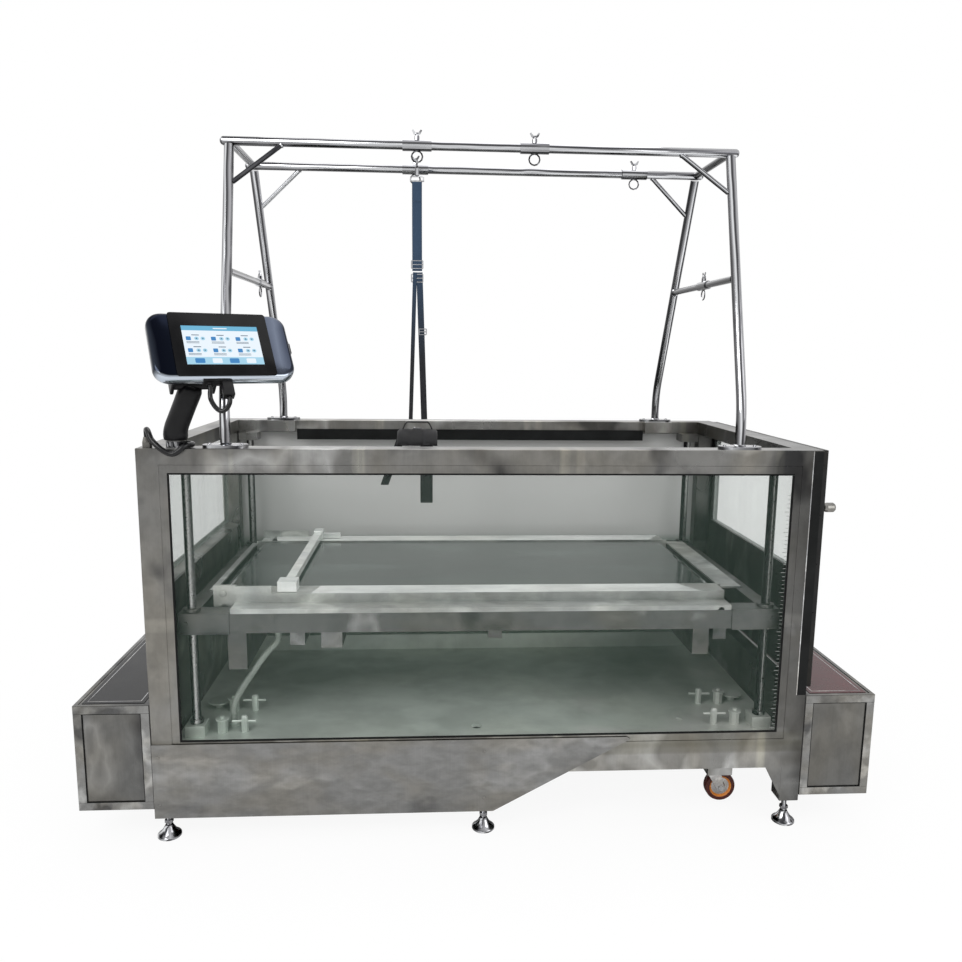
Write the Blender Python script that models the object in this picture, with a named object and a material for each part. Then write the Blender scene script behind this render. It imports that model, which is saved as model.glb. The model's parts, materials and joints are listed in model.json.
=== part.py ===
"""Dog underwater treadmill: a glazed steel tank with a lifting treadmill deck and a sling hoist.

Units are metres. X runs along the tank, Y from the front window to the rear one, Z up. The origin lies
on the ground under the middle of the machine. Each sub-part is one object, and the pieces that move
hang on an empty that stands on their joint's axis.
"""

import math

import bmesh
import bpy
from mathutils import Matrix, Vector

# Tank
TANK_LENGTH = 2.000
TANK_DEPTH = 1.032
RIM_TOP = 1.205
RIM_WIDTH = 0.070
RIM_HEIGHT = 0.048
POST_SIZE = 0.062
TRIM_WIDTH = 0.0225
TRIM_THICKNESS = 0.004
TRIM_RECESS = 0.0025
GLASS_THICKNESS = 0.010
FLOOR_TOP = 0.310
FLOOR_THICKNESS = 0.012
LEG_BOTTOM = 0.085
CHASSIS_BOTTOM = 0.200
CHASSIS_TOP = 0.295
END_WALL_THICKNESS = 0.048
LEFT_SILL = 0.790
DOOR_SILL = 0.455
GUSSET_LENGTH = 0.050
GUSSET_DROP = 0.100
GUSSET_THICKNESS = 0.004
LEDGE_WIDTH = 0.246
LEDGE_HEIGHT = 0.060
BEAM_DROP = 0.057
CASTER_BEAM_WIDTH = 0.080

# Front apron and its twin at the rear
APRON_THICKNESS = 0.0025
APRON_TOP = 0.312
APRON_BOTTOM = 0.075
APRON_TIP = 0.452
APRON_TIP_HEIGHT = 0.305
APRON_HEEL = 0.028
APRON_FLANGE = 0.022
SCREW_HEAD_RADIUS = 0.006
SCREW_HEAD_HEIGHT = 0.0025
APRON_SCREW_INSET = 0.018
APRON_SCREW_RIGHT = 0.000
APRON_SCREW_LOW = 0.118
APRON_SCREW_HIGH = 0.272

# Steps at both ends
STEP_LENGTH = 0.222
STEP_BOTTOM = 0.105
STEP_TOP = 0.438
STEP_BORDER = 0.016
STEP_RECESS = 0.002

# Feet and casters
FOOT_PAD_RADIUS = 0.0355
FOOT_STEM_RADIUS = 0.008
FOOT_STEM_ENGAGED = 0.060
FOOT_BORE_SPARE = 0.008
CASTER_INSET = 0.235
CASTER_SIDE_INSET = 0.156
CASTER_TRAIL = 0.035
WHEEL_RADIUS = 0.050
WHEEL_WIDTH = 0.032
WHEEL_CLEARANCE = 0.008
AXLE_RADIUS = 0.006
FORK_THICKNESS = 0.004
CROWN_RADIUS = 0.034
CROWN_HEIGHT = 0.012

# Lead screws
SCREW_INSET = 0.115
SCREW_SIDE_INSET = 0.079
SCREW_RADIUS = 0.014
SCREW_BLOCK = 0.060
SCREW_BLOCK_HEIGHT = 0.035
SCREW_SEAT = 0.008
TOP_BEARING_HEIGHT = 0.029
TOP_BEARING_DEPTH = 0.017
COLLAR_HEIGHT = 0.012

# Carriage and deck
BEAM_SIZE = 0.060
BEAM_BOTTOM = 0.640
BEAM_SIDE_INSET = 0.051
BEAM_INSET = 0.228
END_BLOCK_PROUD = 0.003
END_BLOCK_INSET = 0.082
END_BEAM_WIDTH = 0.050
BUSH_RADIUS = 0.026
BUSH_HEIGHT = 0.010
CROSS_TUBE_TOP = 0.652
BELT_TOP = 0.737
BELT_THICKNESS = 0.003
BELT_WIDTH = 0.600
ROLLER_RADIUS = 0.035
TAIL_ROLLER_INSET = 0.200
DRIVE_ROLLER_INSET = 0.265
ROLLER_AXLE = 0.010
SIDE_PLATE = 0.008
BELT_SIDE_PLAY = 0.012
RAIL_WIDTH = 0.085
BRACKET_INSET = 0.017
BRACKET_THICKNESS = 0.012
END_PLATE_LOW = 0.010
END_PLATE_HIGH = 0.004
END_PLATE_REACH = 0.070
TAIL_PLATE_REACH = 0.017
RAIL_TOP = 0.742
RAIL_SHEET = 0.004
LEDGE_TOP = 0.715
DECK_LEFT_INSET = 0.155
DECK_RIGHT_INSET = 0.220

# Hoist
BEAM_Y = 0.175
HOIST_HEIGHT = 0.910
BEAM_RADIUS = 0.0135
BEAM_OVERHANG = 0.018
LEG_RADIUS = 0.015
LEG_BASE_INSET = 0.243
LEG_BASE_SIDE_INSET = 0.040
LEG_TOP_INSET = 0.215
LEG_BEND_HEIGHT = 0.115
LEG_BEND_RADIUS = 0.060
FLANGE_LENGTH = 0.130
FLANGE_WIDTH = 0.066
FLANGE_THICKNESS = 0.008
TIE_RADIUS = 0.0125
MID_BAR_RADIUS = 0.011
MID_BAR_HEIGHT = 0.510
BRACE_RADIUS = 0.0075
BRACE_DROP = 0.140
BRACE_REACH = 0.170

# Sliding collars, wing screws and lead
COLLAR_LENGTH = 0.090
COLLAR_WALL = 0.0035
RING_RADIUS = 0.017
RING_WIRE = 0.0025
BOSS_RADIUS = 0.008
BOSS_HEIGHT = 0.010
WING_STEM_RADIUS = 0.003
FRONT_COLLARS = (-0.210, 0.158)
REAR_COLLAR_LEFT = -0.222
REAR_COLLAR_PLAY = 0.055
MID_COLLAR_Y = 0.160
EYE_RADIUS = 0.0085
STRAP_WIDTH = 0.032
STRAP_THICKNESS = 0.003
STRAP_SPLIT_DROP = 0.380
HARNESS_TOP = 1.262
SADDLE_LENGTH = 0.130
SADDLE_WIDTH = 0.150
SADDLE_THICKNESS = 0.012
BELLY_BOTTOM = 0.985
BAND_THICKNESS = 0.004

# Console, measured across it (u), up it (v) and out of its face (n)
CONSOLE_INSET = 0.256
CONSOLE_STANDOFF = 0.001
CONSOLE_HEIGHT = 0.294
CONSOLE_YAW = math.radians(26.4)
CONSOLE_TILT = math.radians(36.9)
SHELL_WIDTH = 0.384
SHELL_HEIGHT = 0.220
SHELL_DEPTH = 0.048
SHELL_CORNER = 0.042
PANEL_WIDTH = 0.269
PANEL_HEIGHT = 0.212
PANEL_THICKNESS = 0.004
TILT_PIVOT = Vector((-0.076, -0.060, -0.112))
BARREL_RADIUS = 0.014
BARREL_LENGTH = 0.102
LUG_THICKNESS = 0.010
LUG_RADIUS = 0.020
SOCKET_SIZE = (0.030, 0.050, 0.026)
SOCKET_U = -0.004
OUTLET_U = -0.050
OUTLET_LENGTH = 0.012
SWITCH_SIZE = (0.009, 0.034, 0.016)
SWITCH_PLAY = 0.001
ARM_INSET = 0.104
ARM_SIDE_INSET = 0.038
ARM_RADIUS = 0.0360
ARM_UPRIGHT = 0.030
ARM_RING_RADIUS = 0.0265
ARM_RING_HEIGHT = 0.0205
OUTLET_RADIUS = 0.0095
GLAND_INSET = 0.026
GLAND_SIDE_INSET = 0.028
GLAND_HEIGHT = 0.030
LOOP_CABLE_RADIUS = 0.0065
BASE_CABLE_RADIUS = 0.0080

# Door
DOOR_THICKNESS = 0.026
DOOR_SIDE_INSET = 0.026
DOOR_STILE = 0.060
DOOR_PANEL_HEIGHT = 0.345
HINGE_STANDOFF = 0.030
HINGE_SIDE_INSET = 0.014
HINGE_RADIUS = 0.010
HINGE_INSET = 0.145
STUDS = 5
STUD_INSET_LOW = 0.085
STUD_INSET_HIGH = 0.050
KNUCKLE = 0.030

# The latch knob on the door.
KNOB_INSET = 0.035
KNOB_DROP = 0.183
KNOB_STEM_RADIUS = 0.008

# The carriage's cross tubes, by the distance of their two sides from the carriage's left end or right
# end, with the height of their underside.
LEFT_CROSS_TUBES = ((0.055, 0.112, 0.503), (0.245, 0.290, 0.580), (0.340, 0.405, 0.570),
                    (0.859, 0.903, 0.595))
RIGHT_CROSS_TUBES = ((0.112, 0.060, 0.535), (0.047, 0.005, 0.585))

# The ribbed hose with the motor's leads, from the floor up to the carriage.
CONDUIT_FOOT_INSET = 0.060
CONDUIT_HEAD_INSET = 0.205
CONDUIT_SIDE_INSET = 0.080
CONDUIT_TOP = 0.625
HOSE_RADIUS = 0.0105
HOSE_BORE = 0.0070
RIB_PITCH = 0.0105
RIB_DEPTH = 0.0020

# Facets in each half turn of the belt.
BELT_STEPS = 12

# The empty that carries every sub-part.
MACHINE = "machine"

# Running and seating clearances, and the small round on tube edges
GAP = 0.0003
CORD_GAP = 0.0006
EDGE = 0.0015

# Worked out from the sizes above
HALF_LENGTH = TANK_LENGTH / 2
HALF_DEPTH = TANK_DEPTH / 2
SCREW_Y = HALF_DEPTH - SCREW_SIDE_INSET
BEAM_FACE = HALF_DEPTH - BEAM_SIDE_INSET
CASTER_Y = HALF_DEPTH - CASTER_SIDE_INSET
LEG_BASE_Y = HALF_DEPTH - LEG_BASE_SIDE_INSET
LEDGE_FRONT = HALF_DEPTH - LEDGE_WIDTH
DOOR_HALF_WIDTH = HALF_DEPTH - DOOR_SIDE_INSET
KNOB_Y = -(DOOR_HALF_WIDTH - KNOB_INSET)
CONDUIT_Y = -(BEAM_FACE - CONDUIT_SIDE_INSET)
ARM_Y = -(HALF_DEPTH - ARM_SIDE_INSET)
GLAND_Y = -(HALF_DEPTH - GLAND_SIDE_INSET)
CONSOLE_Y = -(HALF_DEPTH + CONSOLE_STANDOFF)
REAR_COLLARS = (REAR_COLLAR_LEFT, HALF_LENGTH - LEG_TOP_INSET - BRACE_REACH - REAR_COLLAR_PLAY)
CASTER_X = HALF_LENGTH - CASTER_INSET
SCREW_X = HALF_LENGTH - SCREW_INSET
BEAM_HALF = HALF_LENGTH - BEAM_INSET
END_BLOCK_END = HALF_LENGTH - END_BLOCK_INSET
TAIL_ROLLER_X = -(HALF_LENGTH - TAIL_ROLLER_INSET)
DRIVE_ROLLER_X = HALF_LENGTH - DRIVE_ROLLER_INSET
DECK_LEFT = -(HALF_LENGTH - DECK_LEFT_INSET)
DECK_RIGHT = HALF_LENGTH - DECK_RIGHT_INSET
LEG_BASE_X = HALF_LENGTH - LEG_BASE_INSET
LEG_TOP_X = HALF_LENGTH - LEG_TOP_INSET
BEAM_END = LEG_TOP_X + BEAM_OVERHANG
BRACE_TOP_X = LEG_TOP_X - BRACE_REACH
HINGE_X = HALF_LENGTH + HINGE_STANDOFF
HINGE_Y = HALF_DEPTH - HINGE_SIDE_INSET
APRON_SCREW_LEFT = -(HALF_LENGTH - APRON_SCREW_INSET)
CONSOLE_CENTRE = Vector((-(HALF_LENGTH - CONSOLE_INSET), CONSOLE_Y, RIM_TOP + CONSOLE_HEIGHT))
ARM_BASE = Vector((-(HALF_LENGTH - ARM_INSET), ARM_Y, RIM_TOP))
GLAND = (-(HALF_LENGTH - GLAND_INSET), GLAND_Y)
CROSS_TUBES = [(DECK_LEFT + a, DECK_LEFT + b, z) for a, b, z in LEFT_CROSS_TUBES]
CROSS_TUBES += [(DECK_RIGHT - a, DECK_RIGHT - b, z) for a, b, z in RIGHT_CROSS_TUBES]
CONDUIT_FOOT = (DECK_LEFT + CONDUIT_FOOT_INSET, CONDUIT_Y)
CONDUIT_HEAD = (DECK_LEFT + CONDUIT_HEAD_INSET, CONDUIT_Y)
POST_INNER_X = HALF_LENGTH - POST_SIZE
POST_INNER_Y = HALF_DEPTH - POST_SIZE
RIM_BOTTOM = RIM_TOP - RIM_HEIGHT
TOP_BEARING_BOTTOM = RIM_BOTTOM - TOP_BEARING_HEIGHT
BEAM_Z = RIM_TOP + HOIST_HEIGHT
LEG_BEND_Z = RIM_TOP + LEG_BEND_HEIGHT
MID_BAR_Z = RIM_TOP + MID_BAR_HEIGHT
BRACE_LOW_Z = BEAM_Z - BRACE_DROP
STRAP_SPLIT_Z = BEAM_Z - STRAP_SPLIT_DROP
RAIL_INNER = BELT_WIDTH / 2 + BELT_SIDE_PLAY
RAIL_OUTER = RAIL_INNER + RAIL_WIDTH
DOOR_GLASS_BOTTOM = DOOR_SILL + DOOR_PANEL_HEIGHT
HINGE_HEIGHTS = (DOOR_SILL + HINGE_INSET, RIM_TOP - HINGE_INSET)
KNOB_Z = RIM_TOP - KNOB_DROP
LEDGE_TOP_Z = FLOOR_TOP + LEDGE_HEIGHT
CASTER_BEAM_BOTTOM = CHASSIS_BOTTOM - BEAM_DROP
BEAM_TOP = BEAM_BOTTOM + BEAM_SIZE
ROLLER_Z = BELT_TOP - BELT_THICKNESS - ROLLER_RADIUS
GLASS_FRONT = HALF_DEPTH - TRIM_RECESS - TRIM_THICKNESS - GAP
GLASS_BACK = GLASS_FRONT - GLASS_THICKNESS
FACE_OUT = HALF_DEPTH + GAP + APRON_THICKNESS
LEG_X_PLACES = (-(HALF_LENGTH - POST_SIZE / 2), 0.0, HALF_LENGTH - POST_SIZE / 2)
LEG_Y_PLACE = HALF_DEPTH - POST_SIZE / 2
CORNERS = ((-1, -1), (1, -1), (-1, 1), (1, 1))


def clear_scene():
    for thing in list(bpy.data.objects):
        bpy.data.objects.remove(thing, do_unlink=True)
    machine = bpy.data.objects.new(MACHINE, None)
    bpy.context.scene.collection.objects.link(machine)


def centre_machine():
    """Slide the machine along Y so that the origin is under the middle of its whole box."""
    bpy.context.view_layer.update()
    depths = []
    for thing in bpy.data.objects:
        if thing.type == "MESH":
            depths.extend((thing.matrix_world @ vert.co).y for vert in thing.data.vertices)
    bpy.data.objects[MACHINE].location.y = -(min(depths) + max(depths)) / 2


def material(name, colour, roughness, metallic=0.0, alpha=1.0):
    made = bpy.data.materials.new(name)
    made.use_nodes = True
    shader = made.node_tree.nodes["Principled BSDF"]
    shader.inputs["Base Color"].default_value = (*colour, 1.0)
    shader.inputs["Roughness"].default_value = roughness
    shader.inputs["Metallic"].default_value = metallic
    shader.inputs["Alpha"].default_value = alpha
    made.diffuse_color = (*colour, alpha)
    return made


# Basic shapes. Each gives a temporary object with one closed mesh.

def shape(bm):
    bmesh.ops.recalc_face_normals(bm, faces=bm.faces)
    mesh = bpy.data.meshes.new("shape")
    bm.to_mesh(mesh)
    bm.free()
    made = bpy.data.objects.new("shape", mesh)
    bpy.context.scene.collection.objects.link(made)
    return made


def box(x, y, z, edge=0.0):
    bm = bmesh.new()
    bmesh.ops.create_cube(bm, size=1.0)
    for vert in bm.verts:
        vert.co.x = x[0] if vert.co.x < 0 else x[1]
        vert.co.y = y[0] if vert.co.y < 0 else y[1]
        vert.co.z = z[0] if vert.co.z < 0 else z[1]
    if edge:
        bmesh.ops.bevel(bm, geom=bm.edges[:], offset=edge, segments=1, affect="EDGES")
    return shape(bm)


def sided(side, low, high):
    """A range at the left or front of the middle (side -1) or at its mirror place (side 1)."""
    return (side * high, side * low) if side < 0 else (side * low, side * high)


def pipe(points, radius, sides=16, end_radius=None):
    """A round bar along a line of points, tapering evenly to end_radius where that is given."""
    last = len(points) - 1
    change = 0.0 if end_radius is None else end_radius - radius
    return ribbed_pipe(points, [radius + change * index / last for index in range(last + 1)], sides)


def ribbed_pipe(points, radii, sides):
    """A round bar along a line of points, with its own radius at each of them."""
    points = [Vector(point) for point in points]
    bm = bmesh.new()
    rings = []
    tangent = (points[1] - points[0]).normalized()
    side = tangent.orthogonal().normalized()
    for index, point in enumerate(points):
        before = (point - points[index - 1]).normalized() if index else tangent
        after = (points[index + 1] - point).normalized() if index + 1 < len(points) else before
        tangent = (before + after).normalized()
        side = (side - tangent * side.dot(tangent)).normalized()
        other = tangent.cross(side)
        turn = [2 * math.pi * step / sides for step in range(sides)]
        rings.append([bm.verts.new(point + radii[index] * (math.cos(a) * side + math.sin(a) * other))
                      for a in turn])
    for low, high in zip(rings, rings[1:]):
        for step in range(sides):
            after = (step + 1) % sides
            bm.faces.new((low[step], low[after], high[after], high[step]))
    bm.faces.new(rings[0])
    bm.faces.new(rings[-1])
    return shape(bm)


def turned(profile, centre=(0.0, 0.0, 0.0), axis="Z", sides=16):
    """A body of revolution from (radius, height) pairs, from one end of its axis to the other."""
    bm = bmesh.new()
    rings = []
    for radius, height in profile:
        if radius == 0.0:
            rings.append([bm.verts.new((0.0, 0.0, height))])
            continue
        turn = [2 * math.pi * step / sides for step in range(sides)]
        rings.append([bm.verts.new((radius * math.cos(a), radius * math.sin(a), height)) for a in turn])
    for low, high in zip(rings, rings[1:]):
        for step in range(sides):
            after = (step + 1) % sides
            corners = [low[step % len(low)], low[after % len(low)], high[after % len(high)],
                       high[step % len(high)]]
            bm.faces.new(list(dict.fromkeys(corners)))
    for end in (rings[0], rings[-1]):
        if len(end) > 1:
            bm.faces.new(end)
    turns = {"Z": Matrix.Identity(4), "X": Matrix.Rotation(math.pi / 2, 4, "Y"),
             "Y": Matrix.Rotation(-math.pi / 2, 4, "X")}
    bmesh.ops.transform(bm, matrix=Matrix.Translation(centre) @ turns[axis], verts=bm.verts)
    return shape(bm)


def round_clearance(radius, sides):
    """The radius at the corners of a bore with flat sides, so that a round bar turns freely in it."""
    return (radius + GAP) / math.cos(math.pi / sides)


def ring(centre, axis, major, minor, segments=16, sides=6):
    """A torus whose hole looks along the axis."""
    bm = bmesh.new()
    loops = []
    for segment in range(segments):
        angle = 2 * math.pi * segment / segments
        out = Vector((math.cos(angle), math.sin(angle), 0.0))
        loop = []
        for side in range(sides):
            turn = 2 * math.pi * side / sides
            lift = Vector((0, 0, minor * math.sin(turn)))
            loop.append(bm.verts.new(out * (major + minor * math.cos(turn)) + lift))
        loops.append(loop)
    for index, loop in enumerate(loops):
        following = loops[(index + 1) % segments]
        for side in range(sides):
            after = (side + 1) % sides
            bm.faces.new((loop[side], following[side], following[after], loop[after]))
    turns = {"Z": Matrix.Identity(4), "X": Matrix.Rotation(math.pi / 2, 4, "Y"),
             "Y": Matrix.Rotation(math.pi / 2, 4, "X")}
    bmesh.ops.transform(bm, matrix=Matrix.Translation(centre) @ turns[axis], verts=bm.verts)
    return shape(bm)


def prism(outline, span, across="Y"):
    """An outline drawn in the plane square to one axis, pushed along that axis over the span."""
    bm = bmesh.new()
    places = {"X": lambda a, b, c: (c, a, b), "Y": lambda a, b, c: (a, c, b), "Z": lambda a, b, c: (a, b, c)}
    place = places[across]
    low = [bm.verts.new(place(a, b, span[0])) for a, b in outline]
    high = [bm.verts.new(place(a, b, span[1])) for a, b in outline]
    bm.faces.new(low)
    bm.faces.new(high)
    for index in range(len(outline)):
        after = (index + 1) % len(outline)
        bm.faces.new((low[index], low[after], high[after], high[index]))
    return shape(bm)


def rounded_outline(width, height, radius, steps=6):
    """The corner points of a rectangle with round corners, about its middle."""
    outline = []
    for quarter, (sx, sy) in enumerate(((1, 1), (-1, 1), (-1, -1), (1, -1))):
        centre = (sx * (width / 2 - radius), sy * (height / 2 - radius))
        for step in range(steps + 1):
            angle = (quarter + step / steps) * math.pi / 2
            outline.append((centre[0] + radius * math.cos(angle), centre[1] + radius * math.sin(angle)))
    return outline


def moved(made, matrix):
    made.data.transform(matrix)
    return made


def combine(base, tools, operation):
    """Join the tools to the base shape, or cut them out of it, with exact Booleans."""
    group = bpy.data.collections.new("tools")
    bpy.context.scene.collection.children.link(group)
    for tool in tools:
        bpy.context.scene.collection.objects.unlink(tool)
        group.objects.link(tool)
    change = base.modifiers.new("combine", "BOOLEAN")
    change.operation = operation
    change.solver = "EXACT"
    change.operand_type = "COLLECTION"
    change.collection = group
    seen = base.evaluated_get(bpy.context.evaluated_depsgraph_get())
    mesh = bpy.data.meshes.new_from_object(seen)
    base.modifiers.clear()
    base.data = mesh
    for tool in tools:
        bpy.data.objects.remove(tool, do_unlink=True)
    bpy.data.collections.remove(group)
    return base


def joined(shapes):
    return combine(shapes[0], shapes[1:], "UNION")


def cut(base, tools):
    return combine(base, tools, "DIFFERENCE")


def hang(thing, place, parent):
    """Put an object at its place in the machine's frame, on a joint's empty or on the machine itself."""
    thing.parent = parent or bpy.data.objects[MACHINE]
    thing.location = Vector(place)
    while parent and parent.name != MACHINE:
        thing.location -= parent.location
        parent = parent.parent


def axis_empty(name, place, parent=None):
    made = bpy.data.objects.new(name, None)
    made.empty_display_size = 0.05
    bpy.context.scene.collection.objects.link(made)
    hang(made, place, parent)
    return made


def node(name, made, look, place=(0.0, 0.0, 0.0), parent=None, turn=(0.0, 0.0, 0.0)):
    """Turn a shape, or a mesh that another node already has, into a named sub-part."""
    mesh = made.data if isinstance(made, bpy.types.Object) else made
    if isinstance(made, bpy.types.Object):
        bpy.data.objects.remove(made, do_unlink=True)
    mesh.materials.clear()
    mesh.materials.append(look)
    mesh.name = name
    mesh.shade_smooth()
    mesh.set_sharp_from_angle(angle=math.radians(35))
    part = bpy.data.objects.new(name, mesh)
    bpy.context.scene.collection.objects.link(part)
    part.rotation_euler = turn
    hang(part, place, parent)
    return part


def smooth_route(points, spacing):
    """Points at a steady spacing on a smooth curve through a route's own points."""
    points = [Vector(point) for point in points]
    padded = [2 * points[0] - points[1], *points, 2 * points[-1] - points[-2]]
    fine = []
    for a, b, c, d in zip(padded, padded[1:], padded[2:], padded[3:]):
        for step in range(24):
            t = step / 24
            fine.append(0.5 * (2 * b + (c - a) * t + (2 * a - 5 * b + 4 * c - d) * t ** 2
                               + (3 * b - a - 3 * c + d) * t ** 3))
    fine.append(points[-1])
    total = sum((after - before).length for before, after in zip(fine, fine[1:]))
    count = max(2, round(total / spacing))
    route = [fine[0]]
    walked = 0.0
    for before, after in zip(fine, fine[1:]):
        stride = (after - before).length
        while len(route) < count and walked + stride >= total * len(route) / count:
            share = (total * len(route) / count - walked) / stride
            route.append(before.lerp(after, share))
        walked += stride
    route.append(fine[-1])
    return route


def curve_tube(name, points, depth, look, resolution=2, radii=None, parent=None):
    """A cord as a curve with a round bevel and filled ends."""
    curve = bpy.data.curves.new(name, "CURVE")
    curve.dimensions = "3D"
    curve.bevel_depth = depth
    curve.bevel_resolution = resolution
    curve.use_fill_caps = True
    spline = curve.splines.new("POLY")
    spline.points.add(len(points) - 1)
    for index, point in enumerate(points):
        spline.points[index].co = (*point, 1.0)
        spline.points[index].radius = 1.0 if radii is None else radii[index]
    curve.materials.append(look)
    part = bpy.data.objects.new(name, curve)
    bpy.context.scene.collection.objects.link(part)
    hang(part, (0.0, 0.0, 0.0), parent)
    return part


# Tank frame

def posts_and_rims():
    shapes = []
    for sx, sy in CORNERS:
        shapes.append(box(sided(sx, POST_INNER_X, HALF_LENGTH), sided(sy, POST_INNER_Y, HALF_DEPTH),
                          (LEG_BOTTOM, RIM_BOTTOM + RIM_HEIGHT / 4), EDGE))
    for sy in (-1, 1):
        shapes.append(box((-HALF_LENGTH, HALF_LENGTH), sided(sy, HALF_DEPTH - RIM_WIDTH, HALF_DEPTH),
                          (RIM_BOTTOM, RIM_TOP), EDGE))
        shapes.append(box((-POST_INNER_X - EDGE, POST_INNER_X + EDGE), sided(sy, POST_INNER_Y, HALF_DEPTH),
                          (CHASSIS_BOTTOM, CHASSIS_TOP)))
        shapes.append(box((-POST_SIZE / 2, POST_SIZE / 2), sided(sy, POST_INNER_Y, HALF_DEPTH),
                          (LEG_BOTTOM, CHASSIS_BOTTOM + RIM_HEIGHT / 4)))
    for sx in (-1, 1):
        shapes.append(box(sided(sx, HALF_LENGTH - RIM_WIDTH, HALF_LENGTH),
                          (-HALF_DEPTH + RIM_WIDTH / 2, HALF_DEPTH - RIM_WIDTH / 2), (RIM_BOTTOM, RIM_TOP)))
        shapes.append(box(sided(sx, POST_INNER_X, HALF_LENGTH), (-POST_INNER_Y - EDGE, POST_INNER_Y + EDGE),
                          (CHASSIS_BOTTOM, CHASSIS_TOP)))
    return shapes


def glazing_trims():
    """Flat strips that hold the glass from outside, round both windows and the left pane."""
    shapes = []
    lap = TRIM_THICKNESS
    for sy in (-1, 1):
        depth = sided(sy, GLASS_FRONT + GAP, GLASS_FRONT + GAP + TRIM_THICKNESS)
        for sx in (-1, 1):
            shapes.append(box(sided(sx, POST_INNER_X - TRIM_WIDTH, POST_INNER_X + lap), depth,
                              (CHASSIS_TOP - lap, RIM_BOTTOM + lap)))
        for low, high in ((CHASSIS_TOP - lap, CHASSIS_TOP + TRIM_WIDTH),
                          (RIM_BOTTOM - TRIM_WIDTH, RIM_BOTTOM + lap)):
            shapes.append(box((-POST_INNER_X, POST_INNER_X), depth, (low, high)))
    thickness = (-HALF_LENGTH + TRIM_RECESS, -HALF_LENGTH + TRIM_RECESS + TRIM_THICKNESS)
    for sy in (-1, 1):
        shapes.append(box(thickness, sided(sy, POST_INNER_Y - TRIM_WIDTH, POST_INNER_Y + lap),
                          (LEFT_SILL - TRIM_WIDTH, RIM_BOTTOM + lap)))
    shapes.append(box(thickness, (-POST_INNER_Y, POST_INNER_Y), (RIM_BOTTOM - TRIM_WIDTH, RIM_BOTTOM + lap)))
    shapes.append(box(thickness, (-POST_INNER_Y, POST_INNER_Y),
                      (LEFT_SILL - TRIM_WIDTH / 2, LEFT_SILL + TRIM_WIDTH / 2)))
    shapes.append(box((thickness[0], -POST_INNER_X - EDGE), (-POST_INNER_Y, POST_INNER_Y),
                      (LEFT_SILL - TRIM_WIDTH / 2, LEFT_SILL - EDGE)))
    return shapes


def end_walls():
    """Steel walls: under the left pane, and under the door at the right."""
    shapes = []
    for sx, top in ((-1, LEFT_SILL), (1, DOOR_SILL)):
        middle = (POST_INNER_X + HALF_LENGTH) / 2
        shapes.append(box(sided(sx, middle - END_WALL_THICKNESS / 2, middle + END_WALL_THICKNESS / 2),
                          (-POST_INNER_Y - EDGE, POST_INNER_Y + EDGE), (CHASSIS_TOP - EDGE, top)))
    return shapes


def leg_gussets():
    shapes = []
    for sx, sy in CORNERS:
        if sx < 0:
            continue
        outline = [(sx * (POST_INNER_X + EDGE), CHASSIS_BOTTOM + EDGE),
                   (sx * (POST_INNER_X - GUSSET_LENGTH), CHASSIS_BOTTOM + EDGE),
                   (sx * (POST_INNER_X - GUSSET_LENGTH), CHASSIS_BOTTOM - EDGE),
                   (sx * (POST_INNER_X + EDGE), CHASSIS_BOTTOM - GUSSET_DROP)]
        shapes.append(prism(outline, sided(sy, HALF_DEPTH - EDGE - GUSSET_THICKNESS, HALF_DEPTH - EDGE)))
    return shapes


def chassis_beams():
    """Beams across the chassis: over the casters and between the middle legs."""
    half = CASTER_BEAM_WIDTH / 2
    width = (-POST_INNER_Y - EDGE, POST_INNER_Y + EDGE)
    height = (CASTER_BEAM_BOTTOM, CHASSIS_BOTTOM + EDGE)
    shapes = [box((x - half, x + half), width, height) for x in (-CASTER_X, CASTER_X)]
    shapes.append(box((-POST_SIZE / 2 + EDGE, POST_SIZE / 2 - EDGE), width, height))
    return shapes


def hoist_sockets():
    """Blocks on the inner side of the rear rim, under the hoist's rear legs."""
    inner = HALF_DEPTH - RIM_WIDTH
    return [box((sx * LEG_BASE_X - 0.055, sx * LEG_BASE_X + 0.055), (inner - 0.032, inner + EDGE),
                (RIM_BOTTOM + 0.006, RIM_TOP)) for sx in (-1, 1)]


def top_bearings():
    """Blocks under the rim that hold the upper ends of the lead screws."""
    half = SCREW_BLOCK / 2 + 0.005
    return [box((sx * SCREW_X - half, sx * SCREW_X + half), sided(sy, SCREW_Y - half, SCREW_Y + half),
                (TOP_BEARING_BOTTOM, RIM_BOTTOM + EDGE)) for sx, sy in CORNERS]


def fixed_forks():
    """The left casters don't swivel: their forks are welded to the chassis beam."""
    shapes = []
    for sy in (-1, 1):
        place = Matrix.Translation((-CASTER_X, sy * CASTER_Y, 0.0))
        shapes.extend(moved(piece, place) for piece in fork_pieces(-1, CASTER_BEAM_BOTTOM + EDGE))
    return shapes


def door_knuckles():
    shapes = []
    for height in HINGE_HEIGHTS:
        for shift in (-KNUCKLE, KNUCKLE):
            span = (height + shift - KNUCKLE / 2 + GAP, height + shift + KNUCKLE / 2 - GAP)
            shapes.append(turned([(HINGE_RADIUS, span[0]), (HINGE_RADIUS, span[1])],
                                 (HINGE_X, HINGE_Y, 0.0), sides=10))
            shapes.append(box((HALF_LENGTH - EDGE, HINGE_X), (HINGE_Y - 0.005, HINGE_Y + 0.005), span))
        shapes.append(turned([(HINGE_RADIUS / 2, height - KNUCKLE), (HINGE_RADIUS / 2, height + KNUCKLE)],
                             (HINGE_X, HINGE_Y, 0.0), sides=8))
    return shapes


def rear_panel():
    """The rear service panel, welded on, with the front apron's outline and screw heads."""
    low = HALF_DEPTH - EDGE
    shapes = [prism(apron_outline(), (low, FACE_OUT))]
    shapes.extend(screw_heads(1))
    return shapes


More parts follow.
